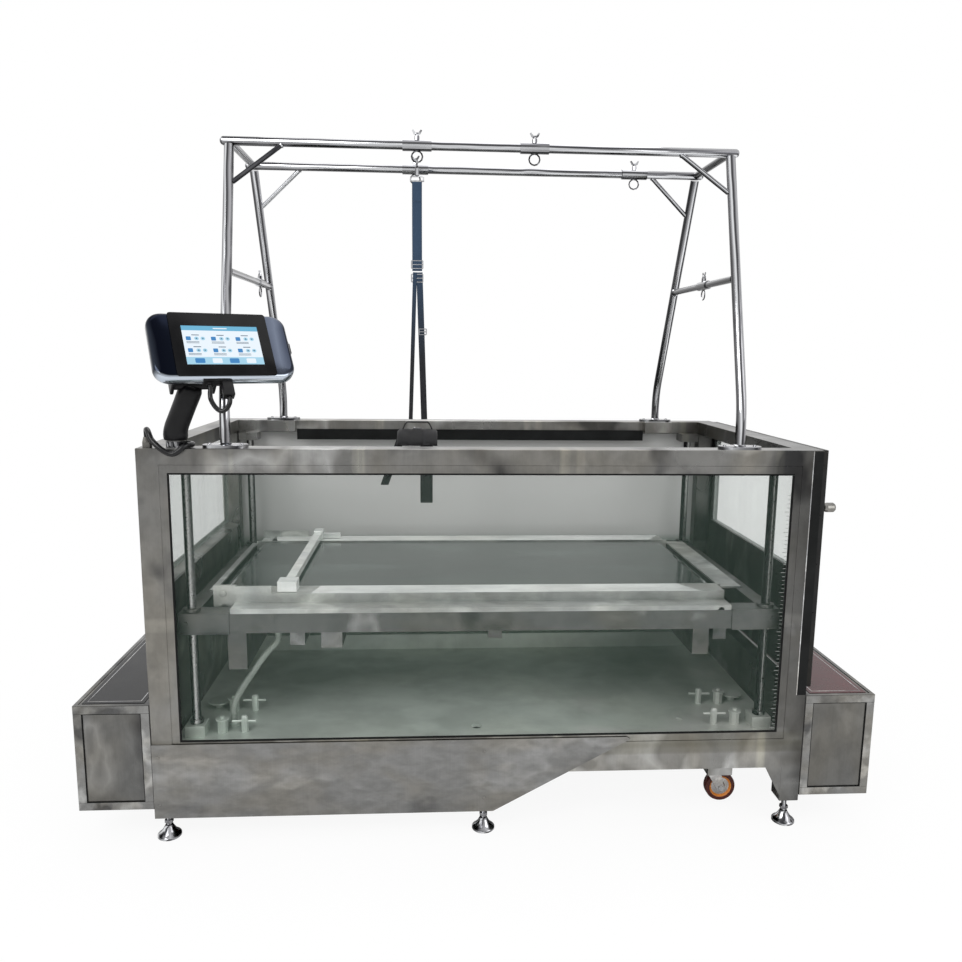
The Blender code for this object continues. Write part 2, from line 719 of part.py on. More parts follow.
def arm_ring_and_gland():
    knurled = turned([(ARM_RING_RADIUS, RIM_TOP - EDGE), (ARM_RING_RADIUS, RIM_TOP + ARM_RING_HEIGHT)],
                     (ARM_BASE.x, ARM_BASE.y, 0.0), sides=16)
    outlet = turned([(OUTLET_RADIUS, 0.0), (OUTLET_RADIUS, ARM_RING_RADIUS + 0.004)],
                    (ARM_BASE.x, ARM_BASE.y, RIM_TOP + OUTLET_RADIUS), "X", sides=10)
    gland = turned([(0.014, RIM_TOP - EDGE), (0.014, RIM_TOP + GLAND_HEIGHT / 2),
                    (0.010, RIM_TOP + GLAND_HEIGHT)],
                   (GLAND[0], GLAND[1], 0.0), sides=8)
    return [knurled, outlet, gland]


def foot_bores():
    depth = FOOT_STEM_ENGAGED + FOOT_BORE_SPARE
    bore = FOOT_STEM_RADIUS + GAP
    return [turned([(bore, LEG_BOTTOM - depth), (bore, LEG_BOTTOM + depth)], (x, sy * LEG_Y_PLACE, 0.0),
                   sides=12)
            for x in LEG_X_PLACES for sy in (-1, 1)]


def tank_frame(look):
    shapes = (posts_and_rims() + glazing_trims() + end_walls() + leg_gussets() + chassis_beams()
              + hoist_sockets() + top_bearings() + fixed_forks() + door_knuckles() + rear_panel()
              + arm_ring_and_gland())
    frame = joined(shapes)
    bore = SCREW_RADIUS + GAP
    holes = [turned([(bore, TOP_BEARING_BOTTOM - TOP_BEARING_DEPTH),
                     (bore, TOP_BEARING_BOTTOM + TOP_BEARING_DEPTH)],
                    (sx * SCREW_X, sy * SCREW_Y, 0.0)) for sx, sy in CORNERS]
    node("tank_frame", cut(frame, holes + foot_bores()), look)


# Floor pan with its fittings

def floor_fittings():
    """Nozzle posts, bump stops and strainer caps at both ends, and the screws' lower bearings."""
    shapes = []
    for sx in (-1, 1):
        for y in (-(HALF_DEPTH - 0.086), -(HALF_DEPTH - 0.241)):
            shapes.append(turned([(0.011, FLOOR_TOP - EDGE), (0.011, FLOOR_TOP + 0.048),
                                  (0.006, FLOOR_TOP + 0.053)],
                                 (sx * (HALF_LENGTH - 0.258), y, 0.0), sides=8))
            ends = (sx * (HALF_LENGTH - 0.292), sx * (HALF_LENGTH - 0.220))
            shapes.append(pipe([(x, y, FLOOR_TOP + 0.034) for x in ends],
                               0.0035, 6))
            shapes.append(turned([(0.016, FLOOR_TOP - EDGE), (0.016, FLOOR_TOP + 0.039),
                                  (0.021, FLOOR_TOP + 0.040),
                                  (0.021, FLOOR_TOP + 0.044), (0.007, FLOOR_TOP + 0.045),
                                  (0.007, FLOOR_TOP + 0.052)],
                                 (sx * (HALF_LENGTH - 0.190), y, 0.0), sides=8))
        shapes.append(turned([(0.014, FLOOR_TOP - EDGE), (0.014, FLOOR_TOP + 0.018),
                              (0.036, FLOOR_TOP + 0.018),
                              (0.036, FLOOR_TOP + 0.022)],
                             (sx * (HALF_LENGTH - 0.134), -(HALF_DEPTH - 0.271), 0.0), sides=10))
    for sx, sy in CORNERS:
        half = SCREW_BLOCK / 2
        base = screw_base(sy)
        shapes.append(box((sx * SCREW_X - half, sx * SCREW_X + half),
                          sided(sy, SCREW_Y - half, SCREW_Y + half),
                          (base - EDGE, base + SCREW_BLOCK_HEIGHT)))
    shapes.append(turned([(0.017, FLOOR_TOP - EDGE), (0.017, FLOOR_TOP + 0.010), (0.013, FLOOR_TOP + 0.015)],
                         (CONDUIT_FOOT[0], CONDUIT_FOOT[1], 0.0), sides=14))
    return shapes


def screw_base(sy):
    """The height that a screw's lower bearing stands on: the floor in front, the ledge at the rear."""
    return FLOOR_TOP if sy < 0 else LEDGE_TOP_Z


def floor_pan(look):
    half = POST_INNER_X - GAP
    reach = GLASS_BACK - GAP
    slab = box((-half, half), (-reach, reach), (FLOOR_TOP - FLOOR_THICKNESS, FLOOR_TOP))
    ledge = box((-half, half), (LEDGE_FRONT, reach), (FLOOR_TOP - EDGE, LEDGE_TOP_Z))
    pan = joined([slab, ledge] + floor_fittings())
    bore = SCREW_RADIUS + GAP
    holes = []
    for sx, sy in CORNERS:
        base = screw_base(sy)
        holes.append(turned([(bore, base + SCREW_SEAT), (bore, base + SCREW_BLOCK)],
                            (sx * SCREW_X, sy * SCREW_Y, 0.0)))
    for x, y, radius in ((-0.020, -0.420, 0.018), (0.640, -0.395, 0.011)):
        holes.append(turned([(radius, FLOOR_TOP - 0.03), (radius, FLOOR_TOP + 0.03)], (x, y, 0.0), sides=12))
    node("floor_pan", cut(pan, holes), look)


# Glass

def panes(look):
    half = POST_INNER_X - GAP
    height = (CHASSIS_TOP + GAP, RIM_BOTTOM - GAP)
    for name, sy in (("front_glass", -1), ("rear_glass", 1)):
        node(name, box((-half, half), sided(sy, GLASS_BACK, GLASS_FRONT), height), look)
    outer = -HALF_LENGTH + TRIM_RECESS + TRIM_THICKNESS + GAP
    pane = box((outer, outer + GLASS_THICKNESS), (-POST_INNER_Y + GAP, POST_INNER_Y - GAP),
               (LEFT_SILL + GAP, RIM_BOTTOM - GAP))
    node("left_glass", pane, look)


# Apron

def apron_outline():
    left = -HALF_LENGTH + GAP
    return [(left, APRON_BOTTOM), (APRON_HEEL, APRON_BOTTOM), (APRON_TIP, APRON_TIP_HEIGHT),
            (APRON_TIP - 0.012, APRON_TOP), (left, APRON_TOP)]


def screw_heads(sy):
    low = FACE_OUT - EDGE / 2
    heads = []
    for x in (APRON_SCREW_LEFT, APRON_SCREW_RIGHT):
        for z in (APRON_SCREW_LOW, APRON_SCREW_HIGH):
            profile = [(SCREW_HEAD_RADIUS, low),
                       (SCREW_HEAD_RADIUS * 0.8, FACE_OUT + SCREW_HEAD_HEIGHT * 0.6),
                       (SCREW_HEAD_RADIUS * 0.4, FACE_OUT + SCREW_HEAD_HEIGHT)]
            head = turned(profile, sides=8)
            turn = Matrix.Rotation(-sy * math.pi / 2, 4, "X")
            heads.append(moved(head, Matrix.Translation((x, 0.0, z)) @ turn))
    return heads


def front_apron(look):
    near = HALF_DEPTH + GAP
    plate = prism(apron_outline(), (-FACE_OUT, -near))
    left = -HALF_LENGTH + GAP
    rise = (APRON_TIP_HEIGHT - APRON_BOTTOM) / (APRON_TIP - APRON_HEEL)
    reach = (CHASSIS_BOTTOM - 0.010 - APRON_BOTTOM) / rise
    lift = APRON_THICKNESS
    flange = [(left, APRON_BOTTOM), (APRON_HEEL, APRON_BOTTOM),
              (APRON_HEEL + reach, APRON_BOTTOM + reach * rise),
              (APRON_HEEL + reach, APRON_BOTTOM + reach * rise + lift), (APRON_HEEL, APRON_BOTTOM + lift),
              (left, APRON_BOTTOM + lift)]
    apron = joined([plate, prism(flange, (-near - EDGE, -near + APRON_FLANGE))] + screw_heads(-1))
    node("front_apron", apron, look)


# Steps

def step_box(name, sx, look):
    bm = bmesh.new()
    bmesh.ops.create_cube(bm, size=1.0)
    near = HALF_LENGTH + GAP
    x = sided(sx, near, near + STEP_LENGTH)
    for vert in bm.verts:
        vert.co.x = x[0] if vert.co.x < 0 else x[1]
        vert.co.y = -HALF_DEPTH if vert.co.y < 0 else HALF_DEPTH
        vert.co.z = STEP_BOTTOM if vert.co.z < 0 else STEP_TOP
    bm.normal_update()
    inner = Vector((-sx, 0.0, 0.0))
    faces = [face for face in bm.faces if face.normal.dot(inner) < 0.5 and face.normal.z > -0.5]
    bmesh.ops.inset_individual(bm, faces=faces, thickness=STEP_BORDER, depth=0.0)
    bmesh.ops.inset_individual(bm, faces=faces, thickness=STEP_RECESS, depth=-STEP_RECESS)
    node(name, shape(bm), look)


# Feet and casters

def feet(look):
    stem_top = LEG_BOTTOM + FOOT_STEM_ENGAGED
    profile = [(FOOT_PAD_RADIUS, 0.0), (FOOT_PAD_RADIUS, 0.007), (FOOT_PAD_RADIUS - 0.006, 0.011),
               (0.012, 0.036),
               (FOOT_STEM_RADIUS, 0.038), (FOOT_STEM_RADIUS, stem_top)]
    foot = turned(profile, sides=12)
    names = [f"{row}_{place}_foot" for row in ("front", "rear") for place in ("left", "middle", "right")]
    places = [(x, sy * LEG_Y_PLACE, 0.0) for sy in (-1, 1) for x in LEG_X_PLACES]
    mesh = foot
    for name, place in zip(names, places):
        part = node(name, mesh, look, place)
        mesh = part.data


def wheel_centre_z():
    return WHEEL_CLEARANCE + WHEEL_RADIUS


def fork_pieces(lean, top):
    """Crown, two cheeks and the axle of a caster, about its swivel axis; lean says which way it trails."""
    inner = WHEEL_WIDTH / 2 + 0.003
    shift = lean * CASTER_TRAIL
    axle_z = wheel_centre_z()
    crown_low = CASTER_BEAM_BOTTOM - GAP - CROWN_HEIGHT
    pieces = [turned([(CROWN_RADIUS, crown_low), (CROWN_RADIUS, top)], sides=12)]
    cheek = [(shift - 0.012, axle_z - 0.010), (shift + 0.012, axle_z - 0.010), (0.026, crown_low + EDGE),
             (-0.026, crown_low + EDGE)]
    for sy in (-1, 1):
        pieces.append(prism(cheek, sided(sy, inner, inner + FORK_THICKNESS)))
    cheeks = inner + FORK_THICKNESS
    head = cheeks + 0.005
    pieces.append(turned([(0.010, -head), (0.010, -cheeks + EDGE), (AXLE_RADIUS, -cheeks + EDGE),
                          (AXLE_RADIUS, cheeks - EDGE), (0.010, cheeks - EDGE), (0.010, head)],
                         (shift, 0.0, axle_z), "Y", sides=6))
    return pieces


def caster_wheel_mesh():
    half = WHEEL_WIDTH / 2
    hub = half + 0.002
    profile = [(0.014, -hub), (0.036, -half + 0.003), (WHEEL_RADIUS, -half), (WHEEL_RADIUS, half),
               (0.036, half - 0.003), (0.014, hub)]
    wheel = turned(profile, axis="Y", sides=16)
    clear = round_clearance(AXLE_RADIUS, 8)
    bore = turned([(clear, -hub - EDGE), (clear, hub + EDGE)], axis="Y", sides=8)
    return cut(wheel, [bore])


def casters(steel, tread):
    mesh = caster_wheel_mesh()
    for end, sx in (("left", -1), ("right", 1)):
        for row, sy in (("front", -1), ("rear", 1)):
            swivel = (sx * CASTER_X, sy * CASTER_Y, CASTER_BEAM_BOTTOM)
            holder = None
            if sx > 0:
                holder = axis_empty(f"{row}_caster_swivel_axis", swivel)
                fork = joined(fork_pieces(1, CASTER_BEAM_BOTTOM - GAP))
                node(f"{row}_caster_fork", fork, steel, (swivel[0], swivel[1], 0.0), holder)
            hub = (swivel[0] + sx * CASTER_TRAIL, swivel[1], wheel_centre_z())
            part = node(f"{row}_{end}_caster_wheel", mesh, tread, hub, holder)
            mesh = part.data


# Lead screws

def lead_screws(look):
    for row, sy in (("front", -1), ("rear", 1)):
        low = screw_base(sy) + SCREW_SEAT + GAP
        stop = screw_base(sy) + SCREW_BLOCK_HEIGHT + GAP
        high = TOP_BEARING_BOTTOM + TOP_BEARING_DEPTH - GAP
        profile = [(SCREW_RADIUS, low), (SCREW_RADIUS, stop), (SCREW_RADIUS + 0.006, stop),
                   (SCREW_RADIUS + 0.006, stop + COLLAR_HEIGHT), (SCREW_RADIUS, stop + COLLAR_HEIGHT),
                   (SCREW_RADIUS, high)]
        made = turned(profile, sides=12)
        for end, sx in (("left", -1), ("right", 1)):
            part = node(f"{row}_{end}_lead_screw", made, look, (sx * SCREW_X, sy * SCREW_Y, 0.0))
            made = part.data


# Carriage, deck, belt and rollers

def carriage_frame(look, platform):
    shapes = []
    inner = BEAM_FACE - BEAM_SIZE
    block_low = BEAM_BOTTOM - END_BLOCK_PROUD
    block_high = BEAM_TOP + END_BLOCK_PROUD
    for sy in (-1, 1):
        shapes.append(box((-BEAM_HALF, BEAM_HALF), sided(sy, inner, BEAM_FACE), (BEAM_BOTTOM, BEAM_TOP)))
        for sx in (-1, 1):
            shapes.append(box(sided(sx, BEAM_HALF - EDGE * 2, END_BLOCK_END),
                              sided(sy, inner - END_BLOCK_PROUD, BEAM_FACE + END_BLOCK_PROUD),
                              (block_low, block_high)))
            shapes.append(turned([(BUSH_RADIUS, block_high - EDGE), (BUSH_RADIUS, block_high + BUSH_HEIGHT)],
                                 (sx * SCREW_X, sy * SCREW_Y, 0.0), sides=16))
            head = turned([(0.007, 0.0), (0.006, 0.005)], sides=6)
            out = Matrix.Rotation(-sy * math.pi / 2, 4, "X")
            place = (sx * (SCREW_X + 0.012), sy * (BEAM_FACE + END_BLOCK_PROUD - EDGE), BEAM_BOTTOM + 0.032)
            shapes.append(moved(head, Matrix.Translation(place) @ out))
    for sx in (-1, 1):
        shapes.append(box(sided(sx, END_BLOCK_END - END_BEAM_WIDTH, END_BLOCK_END - EDGE), (-inner, inner),
                          (BEAM_BOTTOM, BEAM_TOP)))
    for low, high, bottom in CROSS_TUBES:
        shapes.append(box((low, high), (-inner - EDGE, inner + EDGE), (bottom, CROSS_TUBE_TOP)))
    shapes.append(box((CONDUIT_HEAD[0] - 0.024, CONDUIT_HEAD[0] + 0.024),
                      (-inner - EDGE, CONDUIT_HEAD[1] + 0.022),
                      (CONDUIT_TOP, CROSS_TUBE_TOP)))
    bore = SCREW_RADIUS + GAP
    holes = [turned([(bore, BEAM_BOTTOM - 0.03), (bore, BEAM_TOP + 0.03)], (sx * SCREW_X, sy * SCREW_Y, 0.0))
             for sx, sy in CORNERS]
    node("carriage_frame", cut(joined(shapes), holes), look, parent=platform)


def deck_frame(look, platform):
    """Side rails folded from sheet, the slider bed between them, and the end plates."""
    seat = BEAM_TOP + GAP
    skirt = CROSS_TUBE_TOP + GAP
    bed_top = BELT_TOP - BELT_THICKNESS - GAP
    ledge_half = BEAM_HALF - EDGE * 4
    shapes = []
    for sy in (-1, 1):
        shapes.append(box((-ledge_half, ledge_half), sided(sy, RAIL_OUTER - RAIL_SHEET, BEAM_FACE),
                          (seat, LEDGE_TOP)))
        shapes.append(box((-ledge_half, ledge_half), sided(sy, RAIL_OUTER - RAIL_SHEET, RAIL_OUTER),
                          (seat, RAIL_TOP)))
        shapes.append(box((-ledge_half, ledge_half), sided(sy, RAIL_INNER, RAIL_OUTER),
                          (RAIL_TOP - RAIL_SHEET, RAIL_TOP)))
        shapes.append(box((DECK_LEFT, DECK_RIGHT), sided(sy, RAIL_INNER, RAIL_INNER + SIDE_PLATE),
                          (skirt, RAIL_TOP - EDGE)))
        bracket = RAIL_OUTER - BRACKET_INSET
        shapes.append(box((DECK_LEFT + 0.013, -ledge_half + EDGE),
                          sided(sy, bracket, bracket + BRACKET_THICKNESS),
                          (seat, RAIL_TOP + 0.025)))
        shapes.append(box((-ledge_half - EDGE, -0.655), sided(sy, RAIL_OUTER - 0.009, RAIL_OUTER - EDGE),
                          (RAIL_TOP - EDGE, RAIL_TOP + 0.023)))
        shapes.append(box((DECK_LEFT + 0.015, DECK_LEFT + 0.055), sided(sy, RAIL_INNER, bracket + 0.002),
                          (RAIL_TOP - 0.012, RAIL_TOP - 0.004)))
        bolt = turned([(0.011, 0.0), (0.011, 0.005), (0.006, 0.006), (0.006, 0.009)], sides=8)
        out = Matrix.Rotation(-sy * math.pi / 2, 4, "X")
        bolt_place = (DECK_LEFT + 0.042, sy * (bracket + BRACKET_THICKNESS - 0.0005), RAIL_TOP)
        shapes.append(moved(bolt, Matrix.Translation(bolt_place) @ out))
    bed = (TAIL_ROLLER_X + ROLLER_RADIUS + 0.008, DRIVE_ROLLER_X - ROLLER_RADIUS - 0.008)
    shapes.append(box(bed, (-RAIL_INNER - EDGE, RAIL_INNER + EDGE), (BEAM_TOP + 0.004, bed_top)))
    for low, high in ((DECK_RIGHT - EDGE, DECK_RIGHT + END_PLATE_REACH),
                      (DECK_LEFT - TAIL_PLATE_REACH, DECK_LEFT + EDGE)):
        shapes.append(box((low, high), (-RAIL_INNER - SIDE_PLATE, RAIL_INNER + SIDE_PLATE),
                          (BELT_TOP - END_PLATE_LOW, BELT_TOP - END_PLATE_HIGH)))
    frame = joined(shapes)
    bore = ROLLER_AXLE + GAP
    holes = [turned([(bore, -0.5), (bore, 0.5)], (x, 0.0, ROLLER_Z), "Y", 20)
             for x in (TAIL_ROLLER_X, DRIVE_ROLLER_X)]
    node("deck_frame", cut(frame, holes), look, parent=platform)


def running_belt(look, platform):
    def loop(radius):
        outline = []
        for centre, start in ((DRIVE_ROLLER_X, -math.pi / 2), (TAIL_ROLLER_X, math.pi / 2)):
            for step in range(BELT_STEPS + 1):
                angle = start + math.pi * step / BELT_STEPS
                outline.append((centre + radius * math.cos(angle), ROLLER_Z + radius * math.sin(angle)))
        return outline
    half = BELT_WIDTH / 2
    belt = prism(loop(ROLLER_RADIUS + BELT_THICKNESS), (-half, half))
    inside = prism(loop(ROLLER_RADIUS + GAP), (-half - 0.01, half + 0.01))
    node("running_belt", cut(belt, [inside]), look, parent=platform)


def roller(name, x, look, platform):
    half = BELT_WIDTH / 2
    reach = RAIL_INNER + SIDE_PLATE + 0.004
    inside = (ROLLER_RADIUS + GAP) * math.cos(math.pi / (2 * BELT_STEPS)) - GAP
    profile = [(ROLLER_AXLE, -reach), (ROLLER_AXLE, -half), (inside, -half), (inside, half),
               (ROLLER_AXLE, half), (ROLLER_AXLE, reach)]
    holder = axis_empty(f"{name}_axis", (x, 0.0, ROLLER_Z), platform)
    node(name, turned(profile, axis="Y", sides=16), look, (x, 0.0, ROLLER_Z), holder)


def stop_bar(look, platform):
    """A bar across the belt that slides along the rails and keeps the animal off the end."""
    seat = RAIL_TOP + GAP
    x = DECK_LEFT + 0.235
    edge = RAIL_OUTER - 0.012
    start = RAIL_INNER + 0.018
    near = box((x - 0.030, x + 0.030), (-edge, -start), (seat, seat + 0.034), EDGE)
    far = box((x - 0.018, x + 0.018), (start, edge), (seat, seat + 0.034), EDGE)
    bar = box((x - 0.014, x + 0.014), (-start - 0.010, start + 0.010), (seat + 0.006, seat + 0.028))
    arm = box((x + 0.010, x + 0.085), (start + 0.020, edge - 0.015), (seat + 0.002, seat + 0.020))
    holder = axis_empty("stop_bar_axis", (x, 0.0, seat), platform)
    node("stop_bar", joined([near, far, bar, arm]), look, parent=holder)


def motor_conduit(look, platform):
    """The ribbed hose with the motor's leads, from a gland in the floor up to the carriage."""
    foot = FLOOR_TOP + 0.015 + GAP
    head = CONDUIT_TOP - GAP
    x0, y0 = CONDUIT_FOOT
    x1, y1 = CONDUIT_HEAD
    route = [(x0, y0, foot), (x0, y0, foot + 0.012), (x0, y0, foot + 0.024), (x0 + 0.002, y0, foot + 0.050),
             (x0 + 0.018, y0, foot + 0.088), (x0 + 0.054, (y0 + y1) / 2, foot + 0.145),
             (x1 - 0.044, y1, head - 0.086), (x1 - 0.006, y1, head - 0.042), (x1, y1, head - 0.020),
             (x1, y1, head - 0.010), (x1, y1, head)]
    points = smooth_route(route, RIB_PITCH / 2)
    straight = math.ceil(2 * HOSE_RADIUS / (RIB_PITCH / 2))
    radii = []
    for index in range(len(points)):
        edge = min(index, len(points) - 1 - index)
        radii.append(HOSE_RADIUS if edge < straight or index % 2 else HOSE_RADIUS - RIB_DEPTH)
    hose = ribbed_pipe(points, radii, 8)
    down = (points[0] - points[1]).normalized()
    up = (points[-1] - points[-2]).normalized()
    plainer = smooth_route(route, RIB_PITCH * 2)
    inside = pipe([plainer[0] + down * 0.002] + plainer + [plainer[-1] + up * 0.002], HOSE_BORE, 6)
    hose = cut(hose, [inside])
    node("motor_conduit", hose, look)


# Hoist

def leg_line(sx, sy):
    """The middle line of one hoist leg, with its bend as an arc."""
    base = Vector((sx * LEG_BASE_X, sy * LEG_BASE_Y, RIM_TOP + GAP + EDGE))
    knee = Vector((sx * LEG_BASE_X, sy * LEG_BASE_Y, LEG_BEND_Z))
    head = Vector((sx * LEG_TOP_X, sy * BEAM_Y, BEAM_Z))
    down = (base - knee).normalized()
    up = (head - knee).normalized()
    points = [base]
    for step in range(4):
        t = step / 3
        points.append(knee + down * LEG_BEND_RADIUS * (1 - t) ** 2 + up * LEG_BEND_RADIUS * t ** 2)
    points.append(head - up * 0.004)
    return points


def leg_place(sx, sy, z):
    """Where the upper, straight stretch of a leg passes a height."""
    points = leg_line(sx, sy)
    low, high = points[-2], points[-1]
    return low.lerp(high, (z - low.z) / (high.z - low.z))


def stadium(length, width, steps=4):
    outline = []
    for centre, start in ((length / 2 - width / 2, -math.pi / 2), (-length / 2 + width / 2, math.pi / 2)):
        for step in range(steps + 1):
            angle = start + math.pi * step / steps
            outline.append((centre + width / 2 * math.cos(angle), width / 2 * math.sin(angle)))
    return outline


def beam_line(sy, radius, half=BEAM_END):
    return turned([(radius, -half), (radius, half)], (0.0, sy * BEAM_Y, BEAM_Z), "X", sides=16)


def hoist_end(name, sx, look):
    shapes = []
    for sy in (-1, 1):
        shapes.append(pipe(leg_line(sx, sy), LEG_RADIUS, 12))
        flange = prism(stadium(FLANGE_LENGTH, FLANGE_WIDTH),
                       (RIM_TOP + GAP, RIM_TOP + GAP + FLANGE_THICKNESS), "Z")
        shapes.append(moved(flange, Matrix.Translation((sx * LEG_BASE_X, sy * LEG_BASE_Y, 0.0))))
        weld = [(0.0, -0.019), (0.0135, -0.0135), (0.019, 0.0), (0.0135, 0.0135), (0.0, 0.019)]
        shapes.append(turned(weld, (sx * LEG_TOP_X, sy * (BEAM_Y - 0.006), BEAM_Z - 0.015), sides=8))
    shapes.append(turned([(TIE_RADIUS, -BEAM_Y), (TIE_RADIUS, BEAM_Y)], (sx * LEG_TOP_X, 0.0, BEAM_Z), "Y",
                         sides=12))
    ends = [leg_place(sx, sy, MID_BAR_Z) for sy in (-1, 1)]
    shapes.append(pipe(ends, MID_BAR_RADIUS, 12))
    frame = joined(shapes)
    node(name, cut(frame, [beam_line(sy, BEAM_RADIUS + GAP, BEAM_END + 0.05) for sy in (-1, 1)]), look)


def hoist_beam(name, sy, look):
    rounded = [(0.0, -BEAM_END - 0.010), (BEAM_RADIUS * 0.6, -BEAM_END - 0.007), (BEAM_RADIUS, -BEAM_END),
               (BEAM_RADIUS, BEAM_END), (BEAM_RADIUS * 0.6, BEAM_END + 0.007), (0.0, BEAM_END + 0.010)]
    shapes = [turned(rounded, (0.0, sy * BEAM_Y, BEAM_Z), "X", sides=16)]
    for sx in (-1, 1):
        low = leg_place(sx, sy, BRACE_LOW_Z)
        high = Vector((sx * BRACE_TOP_X, sy * BEAM_Y, BEAM_Z))
        shapes.append(pipe([low, high], BRACE_RADIUS, 10))
    legs = [pipe(leg_line(sx, sy), LEG_RADIUS + GAP, 12) for sx in (-1, 1)]
    beam = joined(shapes)
    return node(name, cut(beam, lower_legs(legs)), look)


def lower_legs(legs):
    """Leg-shaped cutters that stop under the beam, so that they shape only the braces' lower ends."""
    above = BEAM_Z - 0.060
    return [cut(leg, [box((-1.0, 1.0), (-1.0, 1.0), (above, above + 0.2))]) for leg in legs]


# Collars and wing screws

def collar_mesh(tube_radius, length):
    """A sliding collar about the origin, its bore along X, its boss up and its ring below."""
    bore = tube_radius + GAP
    outer = bore + COLLAR_WALL
    body = turned([(outer, -length / 2), (outer, length / 2)], axis="X", sides=16)
    boss = turned([(BOSS_RADIUS, outer - 0.003), (BOSS_RADIUS, outer + BOSS_HEIGHT)], sides=8)
    hoop = ring((0.0, 0.0, -outer - RING_RADIUS + 0.001), "Y", RING_RADIUS, RING_WIRE, 12, 4)
    holes = [turned([(bore, -length), (bore, length)], axis="X", sides=16),
             turned([(WING_STEM_RADIUS + GAP, 0.0), (WING_STEM_RADIUS + GAP, 0.1)], sides=8)]
    return cut(joined([body, boss, hoop]), holes)


def wing_mesh(tube_radius):
    """A wing screw about its own axis, from its tip on the tube up to its two wings."""
    low = tube_radius + GAP
    seat = tube_radius + GAP + COLLAR_WALL + BOSS_HEIGHT + GAP
    stem = turned([(WING_STEM_RADIUS, low), (WING_STEM_RADIUS, seat + 0.004)], sides=6)
    hub = turned([(0.0065, seat), (0.0065, seat + 0.006), (0.004, seat + 0.010)], sides=6)
    wings = []
    for sx in (-1, 1):
        outline = [(sx * 0.002, seat + 0.001), (sx * 0.011, seat + 0.007), (sx * 0.016, seat + 0.017),
                   (sx * 0.012, seat + 0.020), (sx * 0.002, seat + 0.008)]
        wings.append(prism(outline, (-0.0013, 0.0013)))
    return joined([stem, hub] + wings)


def collar_set(look):
    """Two collars on each beam and one on each end frame's cross bar, each with its wing screw."""
    holders = {}
    mesh = collar_mesh(BEAM_RADIUS, COLLAR_LENGTH)
    wing = wing_mesh(BEAM_RADIUS)
    places = [(f"front_collar_{i + 1}", (x, -BEAM_Y, BEAM_Z)) for i, x in enumerate(FRONT_COLLARS)]
    places += [(f"rear_collar_{i + 1}", (x, BEAM_Y, BEAM_Z)) for i, x in enumerate(REAR_COLLARS)]
    for name, place in places:
        holder = axis_empty(f"{name}_axis", place)
        mesh = node(name, mesh, look, place, holder).data
        wing = node(f"{name}_wing_screw", wing, look, place, holder).data
        holders[name] = holder
    mesh = collar_mesh(MID_BAR_RADIUS, COLLAR_LENGTH)
    wing = wing_mesh(MID_BAR_RADIUS)
    for name, sx in (("left_collar", -1), ("right_collar", 1)):
        line = leg_place(sx, -1, MID_BAR_Z)
        place = (line.x, MID_COLLAR_Y if sx < 0 else -0.020, MID_BAR_Z)
        holder = axis_empty(f"{name}_axis", place)
        mesh = node(name, mesh, look, place, holder, (0.0, 0.0, math.pi / 2)).data
        wing = node(f"{name}_wing_screw", wing, look, place, holder, (0.0, 0.0, math.pi / 2)).data
        holders[name] = holder
    return holders


# Lead and harness

def ring_wire_z():
    """The middle of the wire at the bottom of a beam collar's ring."""
    return BEAM_Z - (BEAM_RADIUS + GAP + COLLAR_WALL) - 2 * RING_RADIUS + 0.001


def lead(metal, webbing, padding, collar_holder):
    x, y = FRONT_COLLARS[0], -BEAM_Y
    wire = ring_wire_z()
    eye = wire + RING_WIRE + GAP - (EYE_RADIUS - RING_WIRE)
    swing = axis_empty("snap_hook_axis", (x, y, wire), collar_holder)
    shapes = [ring((x, y, eye), "X", EYE_RADIUS, RING_WIRE, 12)]
    barrel_top = eye - EYE_RADIUS
    shapes.append(turned([(0.004, barrel_top - 0.030), (0.0065, barrel_top - 0.027),
                          (0.0065, barrel_top - 0.006),
                          (0.0035, barrel_top + 0.001)], (x, y, 0.0), sides=10))
    loop_top = barrel_top - 0.028
    half = STRAP_WIDTH / 2 + 0.002
    frame = prism([(x - half - 0.004, loop_top - 0.018), (x + half + 0.004, loop_top - 0.018),
                   (x + half + 0.004, loop_top - 0.004), (x + half - 0.004, loop_top),
                   (x - half + 0.004, loop_top),
                   (x - half - 0.004, loop_top - 0.004)], (y - 0.002, y + 0.002))
    window = box((x - half, x + half), (y - 0.01, y + 0.01), (loop_top - 0.014, loop_top - 0.004))
    hook = joined([cut(frame, [window])] + shapes)
    node("snap_hook", hook, metal, parent=swing)
    swivel = axis_empty("lead_swivel_axis", (x, y, loop_top), swing)
    strap(x, y, loop_top - 0.018 - GAP, webbing, swivel)
    support_harness(x, y, padding, swivel)


def strap(x, y, top, look, holder):
    """One wide strap down to its sliders, then two narrower ones to the harness handle."""
    wide = STRAP_WIDTH / 2
    thick = STRAP_THICKNESS / 2
    shapes = [box((x - wide, x + wide), (y - thick, y + thick), (STRAP_SPLIT_Z - 0.014, top))]
    for z in (STRAP_SPLIT_Z + 0.006, STRAP_SPLIT_Z - 0.036):
        shapes.append(box((x - wide - 0.004, x + wide + 0.004), (y - 0.0045, y + 0.0045), (z, z + 0.028),
                          EDGE))
    low = HARNESS_TOP + GAP
    for side, width in ((-1, 0.014), (1, 0.022)):
        top_x = x + side * 0.007
        low_x = x + side * 0.022
        outline = [(low_x - width / 2, low), (low_x + width / 2, low),
                   (top_x + width / 2, STRAP_SPLIT_Z - 0.010),
                   (top_x - width / 2, STRAP_SPLIT_Z - 0.010)]
        shapes.append(prism(outline, (y - thick * 0.9, y + thick * 0.9)))
    node("lead_strap", joined(shapes), look, parent=holder)


